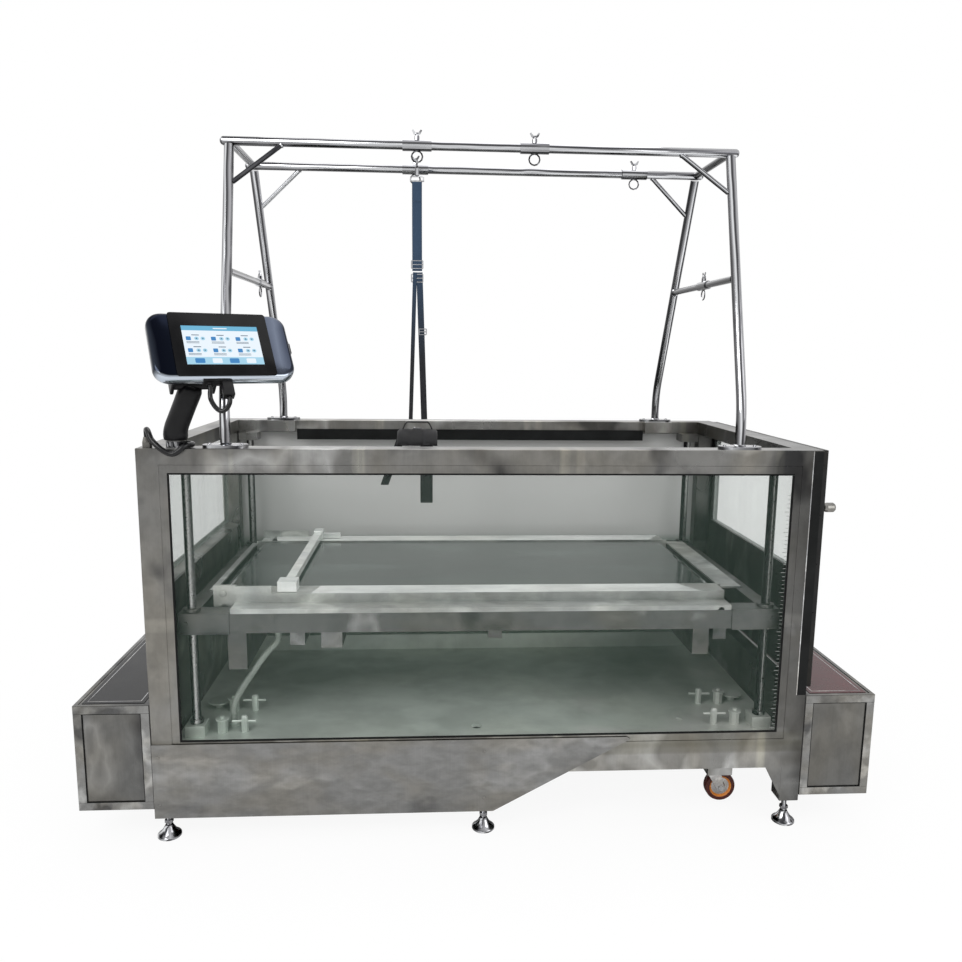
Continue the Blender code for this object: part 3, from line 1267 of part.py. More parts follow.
def band(x, y, width, half_y, top, bottom, lean=0.0, steps=11):
    """A closed loop of webbing round the animal's place, seen end on along X as an oval."""
    bm = bmesh.new()
    centre_z = (top + bottom) / 2
    half_z = (top - bottom) / 2
    rows = []
    for step in range(2 * steps):
        angle = math.pi * step / steps
        row = []
        for out in (0.0, -BAND_THICKNESS):
            for side in (-1, 1):
                z = centre_z + (half_z + out) * math.sin(angle)
                row.append(bm.verts.new((x + side * width / 2 + lean * (top - z),
                                         y + (half_y + out) * math.cos(angle), z)))
        rows.append(row)
    for index, row in enumerate(rows):
        after = rows[(index + 1) % len(rows)]
        for a, b in ((0, 1), (1, 3), (3, 2), (2, 0)):
            bm.faces.new((row[a], row[b], after[b], after[a]))
    return shape(bm)


def support_harness(x, y, look, holder):
    """A padded saddle with a belly band, a chest band and the handle that the straps hook to."""
    top = HARNESS_TOP - 0.030
    outline = []
    steps = 10
    for step in range(steps + 1):
        angle = math.pi * (0.08 + 0.84 * step / steps)
        outline.append((y - SADDLE_WIDTH / 2 * math.cos(angle), top - 0.062 + 0.062 * math.sin(angle)))
    for step in range(steps, -1, -1):
        angle = math.pi * (0.08 + 0.84 * step / steps)
        outline.append((y - (SADDLE_WIDTH / 2 - SADDLE_THICKNESS) * math.cos(angle),
                        top - 0.062 + (0.062 - SADDLE_THICKNESS) * math.sin(angle)))
    shapes = [prism(outline, (x - SADDLE_LENGTH / 2, x + SADDLE_LENGTH / 2), "X")]
    shapes.append(band(x + 0.030, y, 0.040, SADDLE_WIDTH / 2 - 0.004, top - 0.004, BELLY_BOTTOM))
    shapes.append(band(x - 0.045, y, 0.026, SADDLE_WIDTH / 2 - 0.006, top - 0.004, BELLY_BOTTOM + 0.060,
                       -0.35))
    handle = prism([(x - 0.050, top - 0.006), (x - 0.042, HARNESS_TOP - 0.004), (x - 0.034, HARNESS_TOP),
                    (x + 0.034, HARNESS_TOP), (x + 0.042, HARNESS_TOP - 0.004), (x + 0.050, top - 0.006),
                    (x + 0.045, top - 0.006), (x + 0.036, HARNESS_TOP - 0.009),
                    (x - 0.036, HARNESS_TOP - 0.009),
                    (x - 0.045, top - 0.006)], (y - 0.011, y + 0.011))
    shapes.append(handle)
    node("support_harness", joined(shapes), look, parent=holder)


# Console

def console_axes():
    """The console's own axes: across it, up it, and out of its face."""
    facing = Vector((math.sin(CONSOLE_YAW), -math.cos(CONSOLE_YAW), 0.0))
    right = Vector((math.cos(CONSOLE_YAW), math.sin(CONSOLE_YAW), 0.0))
    up = Vector((0.0, 0.0, math.cos(CONSOLE_TILT))) - facing * math.sin(CONSOLE_TILT)
    return right, up, right.cross(up)


def console_matrix():
    """From the console's own u, v and n to the machine's frame."""
    right, up, out = console_axes()
    turn = Matrix((right, up, out)).transposed().to_4x4()
    return Matrix.Translation(CONSOLE_CENTRE) @ turn


def shell_shape():
    front = -PANEL_THICKNESS - GAP
    back = -SHELL_DEPTH
    bm = bmesh.new()
    layers = ((0.012, front), (0.003, front - 0.005), (0.0, front - 0.012), (0.0, back + 0.014),
              (0.004, back + 0.006),
              (0.016, back))
    rows = []
    for shrink, n in layers:
        outline = rounded_outline(SHELL_WIDTH - 2 * shrink, SHELL_HEIGHT - 2 * shrink,
                                  SHELL_CORNER - shrink * 0.6)
        rows.append([bm.verts.new((u, v, n)) for u, v in outline])
    for low, high in zip(rows, rows[1:]):
        for index in range(len(low)):
            after = (index + 1) % len(low)
            bm.faces.new((low[index], low[after], high[after], high[index]))
    bm.faces.new(rows[0])
    bm.faces.new(rows[-1])
    return shape(bm)


def shell_fittings():
    """The two lugs of the tilt hinge behind the shell, and the cable's socket and outlet under it."""
    bottom = -SHELL_HEIGHT / 2
    middle = -SHELL_DEPTH / 2 - 0.002
    pieces = []
    for side in (-1, 1):
        lug = sided(side, BARREL_LENGTH / 2 + GAP, BARREL_LENGTH / 2 + GAP + LUG_THICKNESS)
        pieces.append(box((TILT_PIVOT.x + lug[0], TILT_PIVOT.x + lug[1]),
                          (TILT_PIVOT.y - LUG_RADIUS, TILT_PIVOT.y + LUG_RADIUS),
                          (TILT_PIVOT.z - LUG_RADIUS, -SHELL_DEPTH + EDGE), EDGE))
    width, length, depth = SOCKET_SIZE
    pieces.append(box((SOCKET_U - width / 2, SOCKET_U + width / 2), (bottom - length, bottom + EDGE),
                      (middle - depth / 2, middle + depth / 2), EDGE))
    outlet = turned([(OUTLET_RADIUS, bottom - OUTLET_LENGTH), (OUTLET_RADIUS, bottom + EDGE)], axis="Y",
                    sides=10)
    pieces.append(moved(outlet, Matrix.Translation((OUTLET_U, 0.0, middle))))
    return pieces


def console(steel, glass, black, rubber):
    swivel = axis_empty("console_swivel_axis", ARM_BASE)
    place = console_matrix()
    pivot = place @ TILT_PIVOT
    tilt = axis_empty("console_tilt_axis", pivot, swivel)
    side = SHELL_WIDTH / 2
    middle = -SHELL_DEPTH / 2 - 0.002
    reach, length, width = SWITCH_SIZE
    seat = box((side - reach, side + reach), (-length / 2 - SWITCH_PLAY, length / 2 + SWITCH_PLAY),
               (middle - width / 2 - GAP, middle + width / 2 + GAP))
    shell = cut(joined([shell_shape()] + shell_fittings()), [seat])
    node("console_shell", moved(shell, place), steel, parent=tilt)
    panel = prism(rounded_outline(PANEL_WIDTH, PANEL_HEIGHT, 0.008, 3), (-PANEL_THICKNESS, 0.0), "Z")
    node("touch_panel", moved(panel, place), glass, parent=tilt)
    rocker = box((side - reach / 2 + GAP, side + reach / 2), (-length / 2, length / 2),
                 (middle - width / 2, middle + width / 2), EDGE / 2)
    rock = axis_empty("power_switch_axis", place @ Vector((side, 0.0, middle)), tilt)
    node("power_switch", moved(rocker, place), black, parent=rock)
    console_arm(pivot, black, swivel)
    loop_cable(place, rubber, tilt)
    base_cable(rubber)


def console_arm(pivot, look, swivel):
    right = console_axes()[0]
    foot = Vector((ARM_BASE.x, ARM_BASE.y, RIM_TOP + ARM_RING_HEIGHT + GAP))
    bend = foot + Vector((0.0, 0.0, ARM_UPRIGHT))
    casing = pipe([foot, bend, pivot], ARM_RADIUS - EDGE, 16)
    half = right * BARREL_LENGTH / 2
    barrel = pipe([pivot - half, pivot + half], BARREL_RADIUS, 16)
    node("console_arm", joined([casing, barrel]), look, parent=swivel)


def loop_cable(place, look, tilt):
    """The short lead that hangs in a loop under the console, from its socket to its outlet."""
    bottom = -SHELL_HEIGHT / 2
    middle = -SHELL_DEPTH / 2 - 0.002
    start = place @ Vector((SOCKET_U, bottom - SOCKET_SIZE[1] - CORD_GAP, middle))
    end = place @ Vector((OUTLET_U, bottom - OUTLET_LENGTH - CORD_GAP, middle))
    out = (place.to_3x3() @ Vector((0.0, -1.0, 0.0))).normalized()
    across = Vector((end.x - start.x, end.y - start.y, 0.0))
    low = start + out * 0.012
    route = [start, start + out * 0.004, start + out * 0.009,
             low + across * 0.05 + Vector((0.0, -0.001, -0.008)),
             low + across * 0.20 + Vector((0.0, -0.002, -0.021)),
             low + across * 0.46 + Vector((0.0, -0.002, -0.028)),
             low + across * 0.74 + Vector((0.0, -0.001, -0.020)),
             end + out * 0.036 + Vector((-0.004, 0.002, -0.008)),
             end + out * 0.020 + Vector((-0.003, 0.001, -0.001)), end + out * 0.009, end + out * 0.004, end]
    curve_tube("console_cable", smooth_route(route, 0.010), LOOP_CABLE_RADIUS, look, 2, parent=tilt)


def base_cable(look):
    """The lead from the arm's foot over the rim's edge and back up to its gland in the corner."""
    x, y, z = ARM_BASE.x + ARM_RING_RADIUS + 0.004 + CORD_GAP, ARM_BASE.y, RIM_TOP + OUTLET_RADIUS
    left, back = GLAND
    top = RIM_TOP + GLAND_HEIGHT + CORD_GAP
    route = [(x, y, z), (x + 0.004, y, z), (x + 0.008, y, z), (x + 0.012, y - 0.001, z),
             (x + 0.017, y - 0.006, z),
             (x + 0.019, y - 0.016, z), (x + 0.016, y - 0.030, z), (x + 0.009, y - 0.042, z),
             (x - 0.001, y - 0.050, z - 0.007), (x - 0.012, y - 0.053, z - 0.017),
             (x - 0.027, y - 0.053, z - 0.0235),
             (x - 0.043, y - 0.053, z - 0.019), (x - 0.059, y - 0.052, z - 0.009),
             (x - 0.074, y - 0.048, z + 0.004),
             (x - 0.088, y - 0.040, z + 0.018), (left + 0.012, back - 0.020, top + 0.013),
             (left + 0.004, back - 0.008, top + 0.021), (left, back - 0.001, top + 0.018),
             (left, back, top + 0.012),
             (left, back, top + 0.006), (left, back, top)]
    curve_tube("base_cable", smooth_route(route, 0.011), BASE_CABLE_RADIUS, look, 2)


# Door

def door(steel, glass):
    hinge = axis_empty("door_axis", (HINGE_X, HINGE_Y, 0.0))
    thickness = (HALF_LENGTH + GAP, HALF_LENGTH + GAP + DOOR_THICKNESS)
    height = (DOOR_SILL + GAP, RIM_TOP - 0.002)
    leaf = box(thickness, (-DOOR_HALF_WIDTH, DOOR_HALF_WIDTH), height, EDGE)
    opening = box((thickness[0] - 0.01, thickness[1] + 0.01),
                  (-DOOR_HALF_WIDTH + DOOR_STILE, DOOR_HALF_WIDTH - DOOR_STILE),
                  (DOOR_GLASS_BOTTOM, RIM_BOTTOM - TRIM_WIDTH))
    leaf = cut(leaf, [opening])
    shapes = [leaf]
    for height in HINGE_HEIGHTS:
        span = (height - KNUCKLE / 2 + GAP, height + KNUCKLE / 2 - GAP)
        knuckle = turned([(HINGE_RADIUS, span[0]), (HINGE_RADIUS, span[1])], (HINGE_X, HINGE_Y, 0.0),
                         sides=10)
        strap_x = (thickness[1] - 0.008, thickness[1])
        arm = box(strap_x, (DOOR_HALF_WIDTH - EDGE * 2, HINGE_Y), span)
        clear = round_clearance(HINGE_RADIUS / 2, 8)
        pin = turned([(clear, height - KNUCKLE), (clear, height + KNUCKLE)], (HINGE_X, HINGE_Y, 0.0), sides=8)
        shapes.append(cut(joined([knuckle, arm]), [pin]))
    middle = (thickness[0] + thickness[1]) / 2
    lowest = DOOR_SILL + STUD_INSET_LOW
    spacing = (RIM_TOP - STUD_INSET_HIGH - lowest) / (STUDS - 1)
    for z in [lowest + spacing * index for index in range(STUDS)]:
        stud = turned([(0.006, 0.0), (0.004, 0.005)], sides=6)
        out = Matrix.Rotation(math.pi / 2, 4, "X")
        shapes.append(moved(stud, Matrix.Translation((middle, -DOOR_HALF_WIDTH + EDGE, z)) @ out))
    frame = joined(shapes)
    knob_x = thickness[1]
    clear = round_clearance(KNOB_STEM_RADIUS, 12)
    bore = turned([(clear, knob_x - 0.012), (clear, knob_x + 0.01)], (0.0, KNOB_Y, KNOB_Z), "X", sides=12)
    node("door_frame", cut(frame, [bore]), steel, parent=hinge)
    seat = GAP
    pane = box((middle - 0.005, middle + 0.005), (-DOOR_HALF_WIDTH + DOOR_STILE + seat,
                                                  DOOR_HALF_WIDTH - DOOR_STILE - seat),
               (DOOR_GLASS_BOTTOM + seat, RIM_BOTTOM - TRIM_WIDTH - seat))
    node("door_glass", pane, glass, parent=hinge)
    turn = axis_empty("door_knob_axis", (knob_x, KNOB_Y, KNOB_Z), hinge)
    knob = turned([(KNOB_STEM_RADIUS, knob_x - 0.012 + GAP), (KNOB_STEM_RADIUS, knob_x + 0.012),
                   (0.013, knob_x + 0.014), (0.015, knob_x + 0.022),
                   (0.015, knob_x + 0.042), (0.012, knob_x + 0.047)], (0.0, KNOB_Y, KNOB_Z), "X", sides=12)
    lever = box((knob_x + 0.001, knob_x + 0.007), (KNOB_Y - 0.006, KNOB_Y + 0.006),
                (KNOB_Z - 0.030, KNOB_Z + 0.014), EDGE)
    node("door_knob", joined([knob, lever]), steel, parent=turn)


# Pump and lift motor

def service_unit(look):
    """The pump and the lift's gear motor on one plate, bolted under the chassis beams."""
    top = CASTER_BEAM_BOTTOM - GAP
    plate = box((-CASTER_X - 0.030, 0.020), (-0.240, 0.240), (top - 0.004, top))
    axis = top + 0.062
    pump_x = -CASTER_X + 0.125
    shapes = [plate]
    shapes.append(turned([(0.030, pump_x), (0.056, pump_x + 0.004), (0.056, pump_x + 0.048),
                          (0.042, pump_x + 0.052),
                          (0.042, pump_x + 0.220), (0.030, pump_x + 0.228)], (0.0, -0.110, axis), "X",
                         sides=12))
    shapes.append(box((pump_x + 0.010, pump_x + 0.200), (-0.150, -0.070), (top - 0.002, axis - 0.020)))
    shapes.append(turned([(0.018, axis), (0.018, axis + 0.080)], (pump_x + 0.026, -0.110, 0.0), sides=8))
    shapes.append(box((-0.420, -0.300), (0.060, 0.180), (top - 0.002, axis + 0.050), EDGE))
    shapes.append(turned([(0.044, -0.310), (0.044, -0.150), (0.034, -0.142)], (0.0, 0.120, axis), "X",
                         sides=12))
    shapes.append(turned([(0.012, axis), (0.012, axis + 0.070)], (-0.360, 0.120, 0.0), sides=8))
    node("service_unit", joined(shapes), look)


def build():
    clear_scene()
    steel = material("brushed_steel", (0.56, 0.56, 0.55), 0.28, 1.0)
    chrome = material("polished_steel", (0.68, 0.68, 0.67), 0.15, 1.0)
    glass = material("clear_glass", (0.78, 0.86, 0.82), 0.03, 0.0, 0.35)
    belt = material("belt_rubber", (0.025, 0.035, 0.032), 0.55)
    black = material("black_plastic", (0.012, 0.012, 0.013), 0.40)
    screen = material("panel_glass", (0.010, 0.010, 0.012), 0.08)
    rubber = material("cable_rubber", (0.015, 0.015, 0.015), 0.60)
    webbing = material("strap_webbing", (0.035, 0.055, 0.085), 0.80)
    padding = material("harness_fabric", (0.015, 0.015, 0.017), 0.85)
    tread = material("tread_polyurethane", (0.35, 0.09, 0.04), 0.45)
    hose = material("conduit_plastic", (0.30, 0.33, 0.31), 0.50)
    paint = material("machine_paint", (0.12, 0.14, 0.16), 0.45)

    tank_frame(steel)
    floor_pan(steel)
    panes(glass)
    front_apron(steel)
    step_box("left_step", -1, steel)
    step_box("right_step", 1, steel)
    feet(chrome)
    casters(steel, tread)
    lead_screws(chrome)

    platform = axis_empty("platform_axis", (0.0, 0.0, BEAM_BOTTOM))
    carriage_frame(steel, platform)
    deck_frame(steel, platform)
    running_belt(belt, platform)
    roller("drive_roller", DRIVE_ROLLER_X, chrome, platform)
    roller("tail_roller", TAIL_ROLLER_X, chrome, platform)
    stop_bar(steel, platform)
    motor_conduit(hose, platform)

    hoist_end("hoist_left_end", -1, chrome)
    hoist_end("hoist_right_end", 1, chrome)
    hoist_beam("hoist_front_beam", -1, chrome)
    hoist_beam("hoist_rear_beam", 1, chrome)
    holders = collar_set(chrome)
    lead(chrome, webbing, padding, holders["front_collar_1"])
    console(steel, screen, black, rubber)
    door(steel, glass)
    service_unit(paint)
    centre_machine()


build()
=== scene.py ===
import json
import math

import bmesh
import bpy
from mathutils import Matrix, Vector

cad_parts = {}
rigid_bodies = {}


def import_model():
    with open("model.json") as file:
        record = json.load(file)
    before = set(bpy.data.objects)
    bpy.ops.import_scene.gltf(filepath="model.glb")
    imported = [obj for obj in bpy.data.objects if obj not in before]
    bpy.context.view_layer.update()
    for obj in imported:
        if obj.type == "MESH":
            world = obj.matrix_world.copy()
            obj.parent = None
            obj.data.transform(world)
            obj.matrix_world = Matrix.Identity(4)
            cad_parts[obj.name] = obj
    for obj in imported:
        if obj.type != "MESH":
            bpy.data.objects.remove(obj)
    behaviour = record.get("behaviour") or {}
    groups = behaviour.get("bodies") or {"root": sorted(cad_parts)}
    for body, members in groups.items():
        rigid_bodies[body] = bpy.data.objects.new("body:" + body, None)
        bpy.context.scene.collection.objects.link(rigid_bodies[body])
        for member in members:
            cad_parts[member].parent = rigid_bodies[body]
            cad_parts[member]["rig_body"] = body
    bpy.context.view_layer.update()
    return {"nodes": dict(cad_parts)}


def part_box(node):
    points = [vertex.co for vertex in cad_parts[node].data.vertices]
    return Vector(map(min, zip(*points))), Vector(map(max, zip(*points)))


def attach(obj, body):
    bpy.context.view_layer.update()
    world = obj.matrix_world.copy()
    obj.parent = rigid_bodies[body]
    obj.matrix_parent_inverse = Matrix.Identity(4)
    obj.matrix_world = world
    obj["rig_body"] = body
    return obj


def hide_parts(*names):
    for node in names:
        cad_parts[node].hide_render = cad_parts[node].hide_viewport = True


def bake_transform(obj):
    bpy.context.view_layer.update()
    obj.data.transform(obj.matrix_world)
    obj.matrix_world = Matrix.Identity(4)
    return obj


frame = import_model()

NODES = frame["nodes"]

# The tank's middle lies behind the middle of the machine's box, because the console stands out in front.
MIDDLE_Y = (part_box("front_glass")[0][1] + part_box("rear_glass")[1][1]) / 2


def place(x, y, z):
    """A point given from the tank's own middle."""
    return Vector((x, y + MIDDLE_Y, z))


def link(name, data):
    """Puts an object with this data in the scene."""
    made = bpy.data.objects.new(name, data)
    bpy.context.scene.collection.objects.link(made)
    return made


# Camera

def camera():
    yaw, pitch, roll = math.radians(3.501), math.radians(9.067), math.radians(0.613)
    forward = Vector((math.sin(yaw) * math.cos(pitch), math.cos(yaw) * math.cos(pitch), -math.sin(pitch)))
    right = Vector((math.cos(yaw), -math.sin(yaw), 0.0))
    up = right.cross(forward)
    right, up = (right * math.cos(roll) + up * math.sin(roll), up * math.cos(roll) - right * math.sin(roll))
    data = bpy.data.cameras.new("camera")
    data.sensor_width = 36.0
    data.lens = 824.9 / 962 * 36.0
    data.clip_end = 60.0
    made = link("camera", data)
    turn = Matrix((right, up, -forward)).transposed().to_4x4()
    made.matrix_world = Matrix.Translation(place(-0.165, -2.881, 1.491)) @ turn
    bpy.context.scene.camera = made


camera()


# Materials

class Paint:
    """A node material with a short way to add and join nodes."""

    def __init__(self, name):
        self.made = bpy.data.materials.new(name)
        self.made.use_nodes = True
        self.tree = self.made.node_tree
        self.shader = self.tree.nodes["Principled BSDF"]

    def add(self, kind, **values):
        node = self.tree.nodes.new(kind)
        for key, value in values.items():
            if hasattr(node, key):
                setattr(node, key, value)
            else:
                node.inputs[key.replace("_", " ")].default_value = value
        return node

    def join(self, source, target):
        self.tree.links.new(source, target)

    def set(self, **values):
        for key, value in values.items():
            self.shader.inputs[key.replace("_", " ")].default_value = value

    def space(self, scale=(1.0, 1.0, 1.0)):
        where = self.add("ShaderNodeTexCoord")
        move = self.add("ShaderNodeMapping", Scale=scale)
        self.join(where.outputs["Object"], move.inputs["Vector"])
        return move.outputs["Vector"]

    def noise(self, scale, detail=3.0, rough=0.5, warp=0.0, stretch=(1.0, 1.0, 1.0)):
        made = self.add("ShaderNodeTexNoise", Scale=scale, Detail=detail, Roughness=rough, Distortion=warp)
        self.join(self.space(stretch), made.inputs["Vector"])
        return made.outputs["Fac"]

    def wave(self, scale, direction, warp=0.0):
        made = self.add("ShaderNodeTexWave", Scale=scale, bands_direction=direction, Distortion=warp)
        self.join(self.space(), made.inputs["Vector"])
        return made

    def ramp(self, value, *stops):
        """Colours by a value; each stop is a place from 0 to 1 with a colour, or with one number for a grey."""
        made = self.add("ShaderNodeValToRGB")
        ends = made.color_ramp.elements
        while len(ends) < len(stops):
            ends.new(0.5)
        for end, (at, colour) in zip(ends, stops):
            end.position = at
            end.color = (colour, colour, colour, 1.0) if isinstance(colour, float) else (*colour, 1.0)
        self.join(value, made.inputs["Fac"])
        return made.outputs["Color"]

    def mix(self, kind, factor, first, second):
        made = self.add("ShaderNodeMix", data_type="RGBA", blend_type=kind)
        for value, index in ((factor, 0), (first, 6), (second, 7)):
            if isinstance(value, bpy.types.NodeSocket):
                self.join(value, made.inputs[index])
            elif index:
                made.inputs[index].default_value = (*value, 1.0)
            else:
                made.inputs[index].default_value = value
        return made.outputs[2]

    def shade(self, tone, value, *stops):
        """A tone multiplied by a ramp of a value."""
        return self.mix("MULTIPLY", 1.0, tone, self.ramp(value, *stops))

    def remap(self, value, **ends):
        """A value stretched between the ends that are given, out of From_Min, From_Max, To_Min and To_Max."""
        made = self.add("ShaderNodeMapRange", **ends)
        self.join(value, made.inputs["Value"])
        return made.outputs["Result"]

    def along(self, output, direction, low=-1.0, high=1.0):
        """How far a point or normal lies along a direction of the object, from 0 at low to 1 at high."""
        where = self.add("ShaderNodeTexCoord")
        dot = self.add("ShaderNodeVectorMath", operation="DOT_PRODUCT")
        dot.inputs[1].default_value = direction
        self.join(where.outputs[output], dot.inputs[0])
        return self.remap(dot.outputs["Value"], From_Min=low, From_Max=high)

    def shift(self, value, other, amount):
        """A value moved by another, which runs from 0 to 1, by at most half the amount each way."""
        move = self.remap(other, To_Min=-amount / 2, To_Max=amount / 2)
        total = self.add("ShaderNodeMath", operation="ADD")
        self.join(value, total.inputs[0])
        self.join(move, total.inputs[1])
        return total.outputs[0]

    def colour(self, value):
        self.join(value, self.shader.inputs["Base Color"])

    def rough(self, value, low, high):
        self.join(self.remap(value, To_Min=low, To_Max=high), self.shader.inputs["Roughness"])

    def bump(self, value, strength=0.1, distance=0.001):
        made = self.add("ShaderNodeBump", Strength=strength, Distance=distance)
        self.join(value, made.inputs["Height"])
        self.join(made.outputs["Normal"], self.shader.inputs["Normal"])


def steel(name, dark, middle, light, scale=2.2, stretch=(1.0, 1.0, 1.0), low=0.16, high=0.34, warm=0.10, metal=1.0,
          lengthwise=(), reflection_bands=False):
    """Brushed stainless sheet with painted reflections of the room in cloudy patches, and a fine grain.

    warm is how yellow some patches of the painted reflections turn. lengthwise gives, by their place along the
    tank from 0 to 1, painted light and shade: how much of the room's light reaches it. A last flag adds upright
    and level bands of painted reflection of the room.
    """
    paint = Paint(name)
    paint.set(Metallic=metal)
    # Painted reflections of the room: cloudy dark, middle and light tones in the base colour.
    reflection_cloud = paint.noise(scale, 3.5, 0.55, 0.25, stretch)
    tone = paint.ramp(reflection_cloud, (0.34, dark), (0.42, middle), (0.54, middle), (0.60, light), (0.66, middle))
    blotch = paint.noise(scale * 6.0, 3.0, 0.6, 0.2, stretch)
    tone = paint.shade(tone, blotch, (0.36, 0.80), (0.62, 1.0))
    # Painted reflections: upright and level bands of the room, darker and brighter.
    if reflection_bands:
        upright = paint.noise(1.0, 3.0, 0.6, stretch=(6.5, 0.0, 0.0))
        tone = paint.shade(tone, upright, (0.34, (0.66, 0.66, 0.67)), (0.42, 1.0), (0.58, 1.0),
                           (0.64, (1.42, 1.41, 1.32)), (0.70, 1.0))
        level = paint.noise(1.0, 3.0, 0.6, stretch=(0.0, 0.0, 5.0))
        tone = paint.shade(tone, level, (0.36, (0.62, 0.61, 0.54)), (0.43, 1.0), (0.58, 1.0),
                           (0.64, (1.35, 1.35, 1.33)))
    # Painted reflection: warm yellow patches in the base colour; the same noise sets the roughness.
    patch_noise = paint.noise(scale * 2.7, 2.0, 0.5, 0.4, tuple(v * 0.6 for v in stretch))
    tone = paint.shade(tone, patch_noise, (0.42, 1.0), (0.66, (1.0, 1.0 - warm * 0.35, 1.0 - warm)))
    grain = paint.noise(1.0, 2.0, stretch=(620.0, 620.0, 7.0))
    tone = paint.shade(tone, grain, (0.30, 0.93), (0.70, 1.0))
    # Painted light and shade along the tank, by how much of the room's light reaches each part.
    if lengthwise:
        tone = paint.shade(tone, paint.along("Object", (1.0, 0.0, 0.0)), *lengthwise)
    paint.colour(tone)
    paint.rough(patch_noise, low, high)
    paint.bump(grain, 0.02, 0.0003)
    return paint.made


def chrome_tube(name, stretch):
    """Polished tube with painted reflections: dark and bright lines of the room, painted by the way the surface
    faces, that run along it and waver.
    """
    paint = Paint(name)
    paint.set(Metallic=1.0)
    reflection_cloud = paint.noise(1.0, 3.0, 0.6, 0.6, stretch)
    # Painted reflections: dark and bright bands by the direction the surface faces, wavering with the noise.
    facing = paint.shift(paint.along("Normal", (0.78, 0.0, 0.62)), reflection_cloud, 0.30)
    paint.colour(paint.ramp(facing, (0.06, (0.020, 0.020, 0.022)), (0.20, (0.11, 0.11, 0.115)),
                            (0.30, (0.28, 0.28, 0.29)), (0.38, (0.62, 0.63, 0.65)), (0.46, (0.78, 0.79, 0.81)),
                            (0.53, (0.11, 0.11, 0.115)), (0.62, (0.035, 0.035, 0.04)), (0.70, (0.24, 0.24, 0.25)),
                            (0.82, (0.46, 0.46, 0.48)), (0.94, (0.05, 0.05, 0.055))))
    paint.rough(reflection_cloud, 0.06, 0.16)
    return paint.made


def clear_glass(name, colour, alpha):
    """A clear pane: alpha is how much of what shows is its own colour."""
    paint = Paint(name)
    paint.set(Roughness=0.03, Alpha=alpha, IOR=1.5)
    patch_noise = paint.noise(3.0, 3.0, 0.6, 1.0, (1.0, 1.0, 0.7))
    paint.colour(paint.ramp(patch_noise, (0.35, tuple(v * 0.85 for v in colour)), (0.65, colour)))
    return paint.made


def rear_glass(name):
    """The rear pane: an even grey tint over the deck; under the deck its green tint is painted darker as the deck's
    shade, darkest just under the deck.
    """
    paint = Paint(name)
    paint.set(Roughness=0.12, Alpha=0.96, IOR=1.5)
    height = paint.along("Object", (0.0, 0.0, 1.0), 0.30, 1.15)
    # Painted shade: the green below the deck is darkened for the deck's shadow, most just under it.
    paint.colour(paint.ramp(height, (0.00, (0.44, 0.54, 0.47)), (0.30, (0.32, 0.41, 0.35)),
                            (0.46, (0.30, 0.36, 0.32)), (0.50, (0.61, 0.61, 0.60)), (1.00, (0.63, 0.63, 0.62))))
    return paint.made


def plastic(name, colour, low=0.30, high=0.48, grain=900.0, strength=0.08, shine=0.5):
    """Moulded plastic or rubber with a fine grain, a little paler where it has been handled."""
    paint = Paint(name)
    paint.set(Specular_IOR_Level=shine)
    fine = paint.noise(grain, 2.0)
    wear = paint.noise(14.0, 4.0)
    paint.colour(paint.ramp(wear, (0.35, colour), (0.75, tuple(v * 1.5 + 0.004 for v in colour))))
    paint.rough(wear, low, high)
    paint.bump(fine, strength, 0.0003)
    return paint.made


def webbing(name, top, bottom, split=None):
    """Woven strap: ribs across it and a twill along it. Between the two heights in split its colour changes."""
    paint = Paint(name)
    paint.set(Sheen_Weight=0.06, Specular_IOR_Level=0.25, Roughness=0.72)
    ribs = paint.wave(150.0, "Z")
    twill = paint.wave(190.0, "DIAGONAL", 0.4)
    weave = paint.mix("MULTIPLY", 0.5, ribs.outputs["Color"], twill.outputs["Color"])
    if split:
        base = paint.ramp(paint.along("Object", (0.0, 0.0, 1.0), *split), (0.0, bottom), (1.0, top))
    else:
        base = paint.ramp(paint.noise(25.0, 3.0), (0.35, bottom), (0.65, top))
    paint.colour(paint.shade(base, weave, (0.0, 0.72), (1.0, 1.0)))
    paint.bump(weave, 0.35, 0.0006)
    return paint.made


def belt_rubber(name):
    """Wet treadmill belt: dark green-black with a fine diamond texture and a soft gloss."""
    paint = Paint(name)
    wet = paint.noise(2.0, 3.0, 0.5, 0.5, (0.8, 2.6, 1.0))
    paint.colour(paint.ramp(wet, (0.35, (0.008, 0.014, 0.013)), (0.52, (0.018, 0.028, 0.025)),
                            (0.70, (0.055, 0.072, 0.066))))
    paint.rough(wet, 0.10, 0.34)
    paint.set(Coat_Weight=0.7, Coat_Roughness=0.10)
    check = paint.add("ShaderNodeTexVoronoi", Scale=320.0)
    paint.join(paint.space(), check.inputs["Vector"])
    paint.bump(check.outputs["Distance"], 0.15, 0.0004)
    return paint.made


def screw_metal(name):
    """Ground screw thread: painted shade on one side and a painted highlight across the other, painted shade in the
    thread grooves, and fine specks.
    """
    paint = Paint(name)
    paint.set(Metallic=1.0)
    speck = paint.noise(260.0, stretch=(1.0, 1.0, 0.6))
    # Painted shade and highlight by which way the surface faces.
    side = paint.shift(paint.along("Normal", (1.0, 0.0, 0.0)), speck, 0.22)
    tone = paint.ramp(side, (0.22, (0.015, 0.015, 0.016)), (0.38, 0.05), (0.46, (0.42, 0.42, 0.41)),
                      (0.62, (0.56, 0.56, 0.55)), (0.78, 0.20), (0.92, 0.06))
    # Painted shade in the grooves: darker bands at about the thread pitch.
    groove_shade = paint.wave(104.0, "Z").outputs["Fac"]
    paint.colour(paint.shade(tone, groove_shade, (0.20, 0.72), (0.60, 1.0)))
    paint.rough(speck, 0.20, 0.38)
    return paint.made


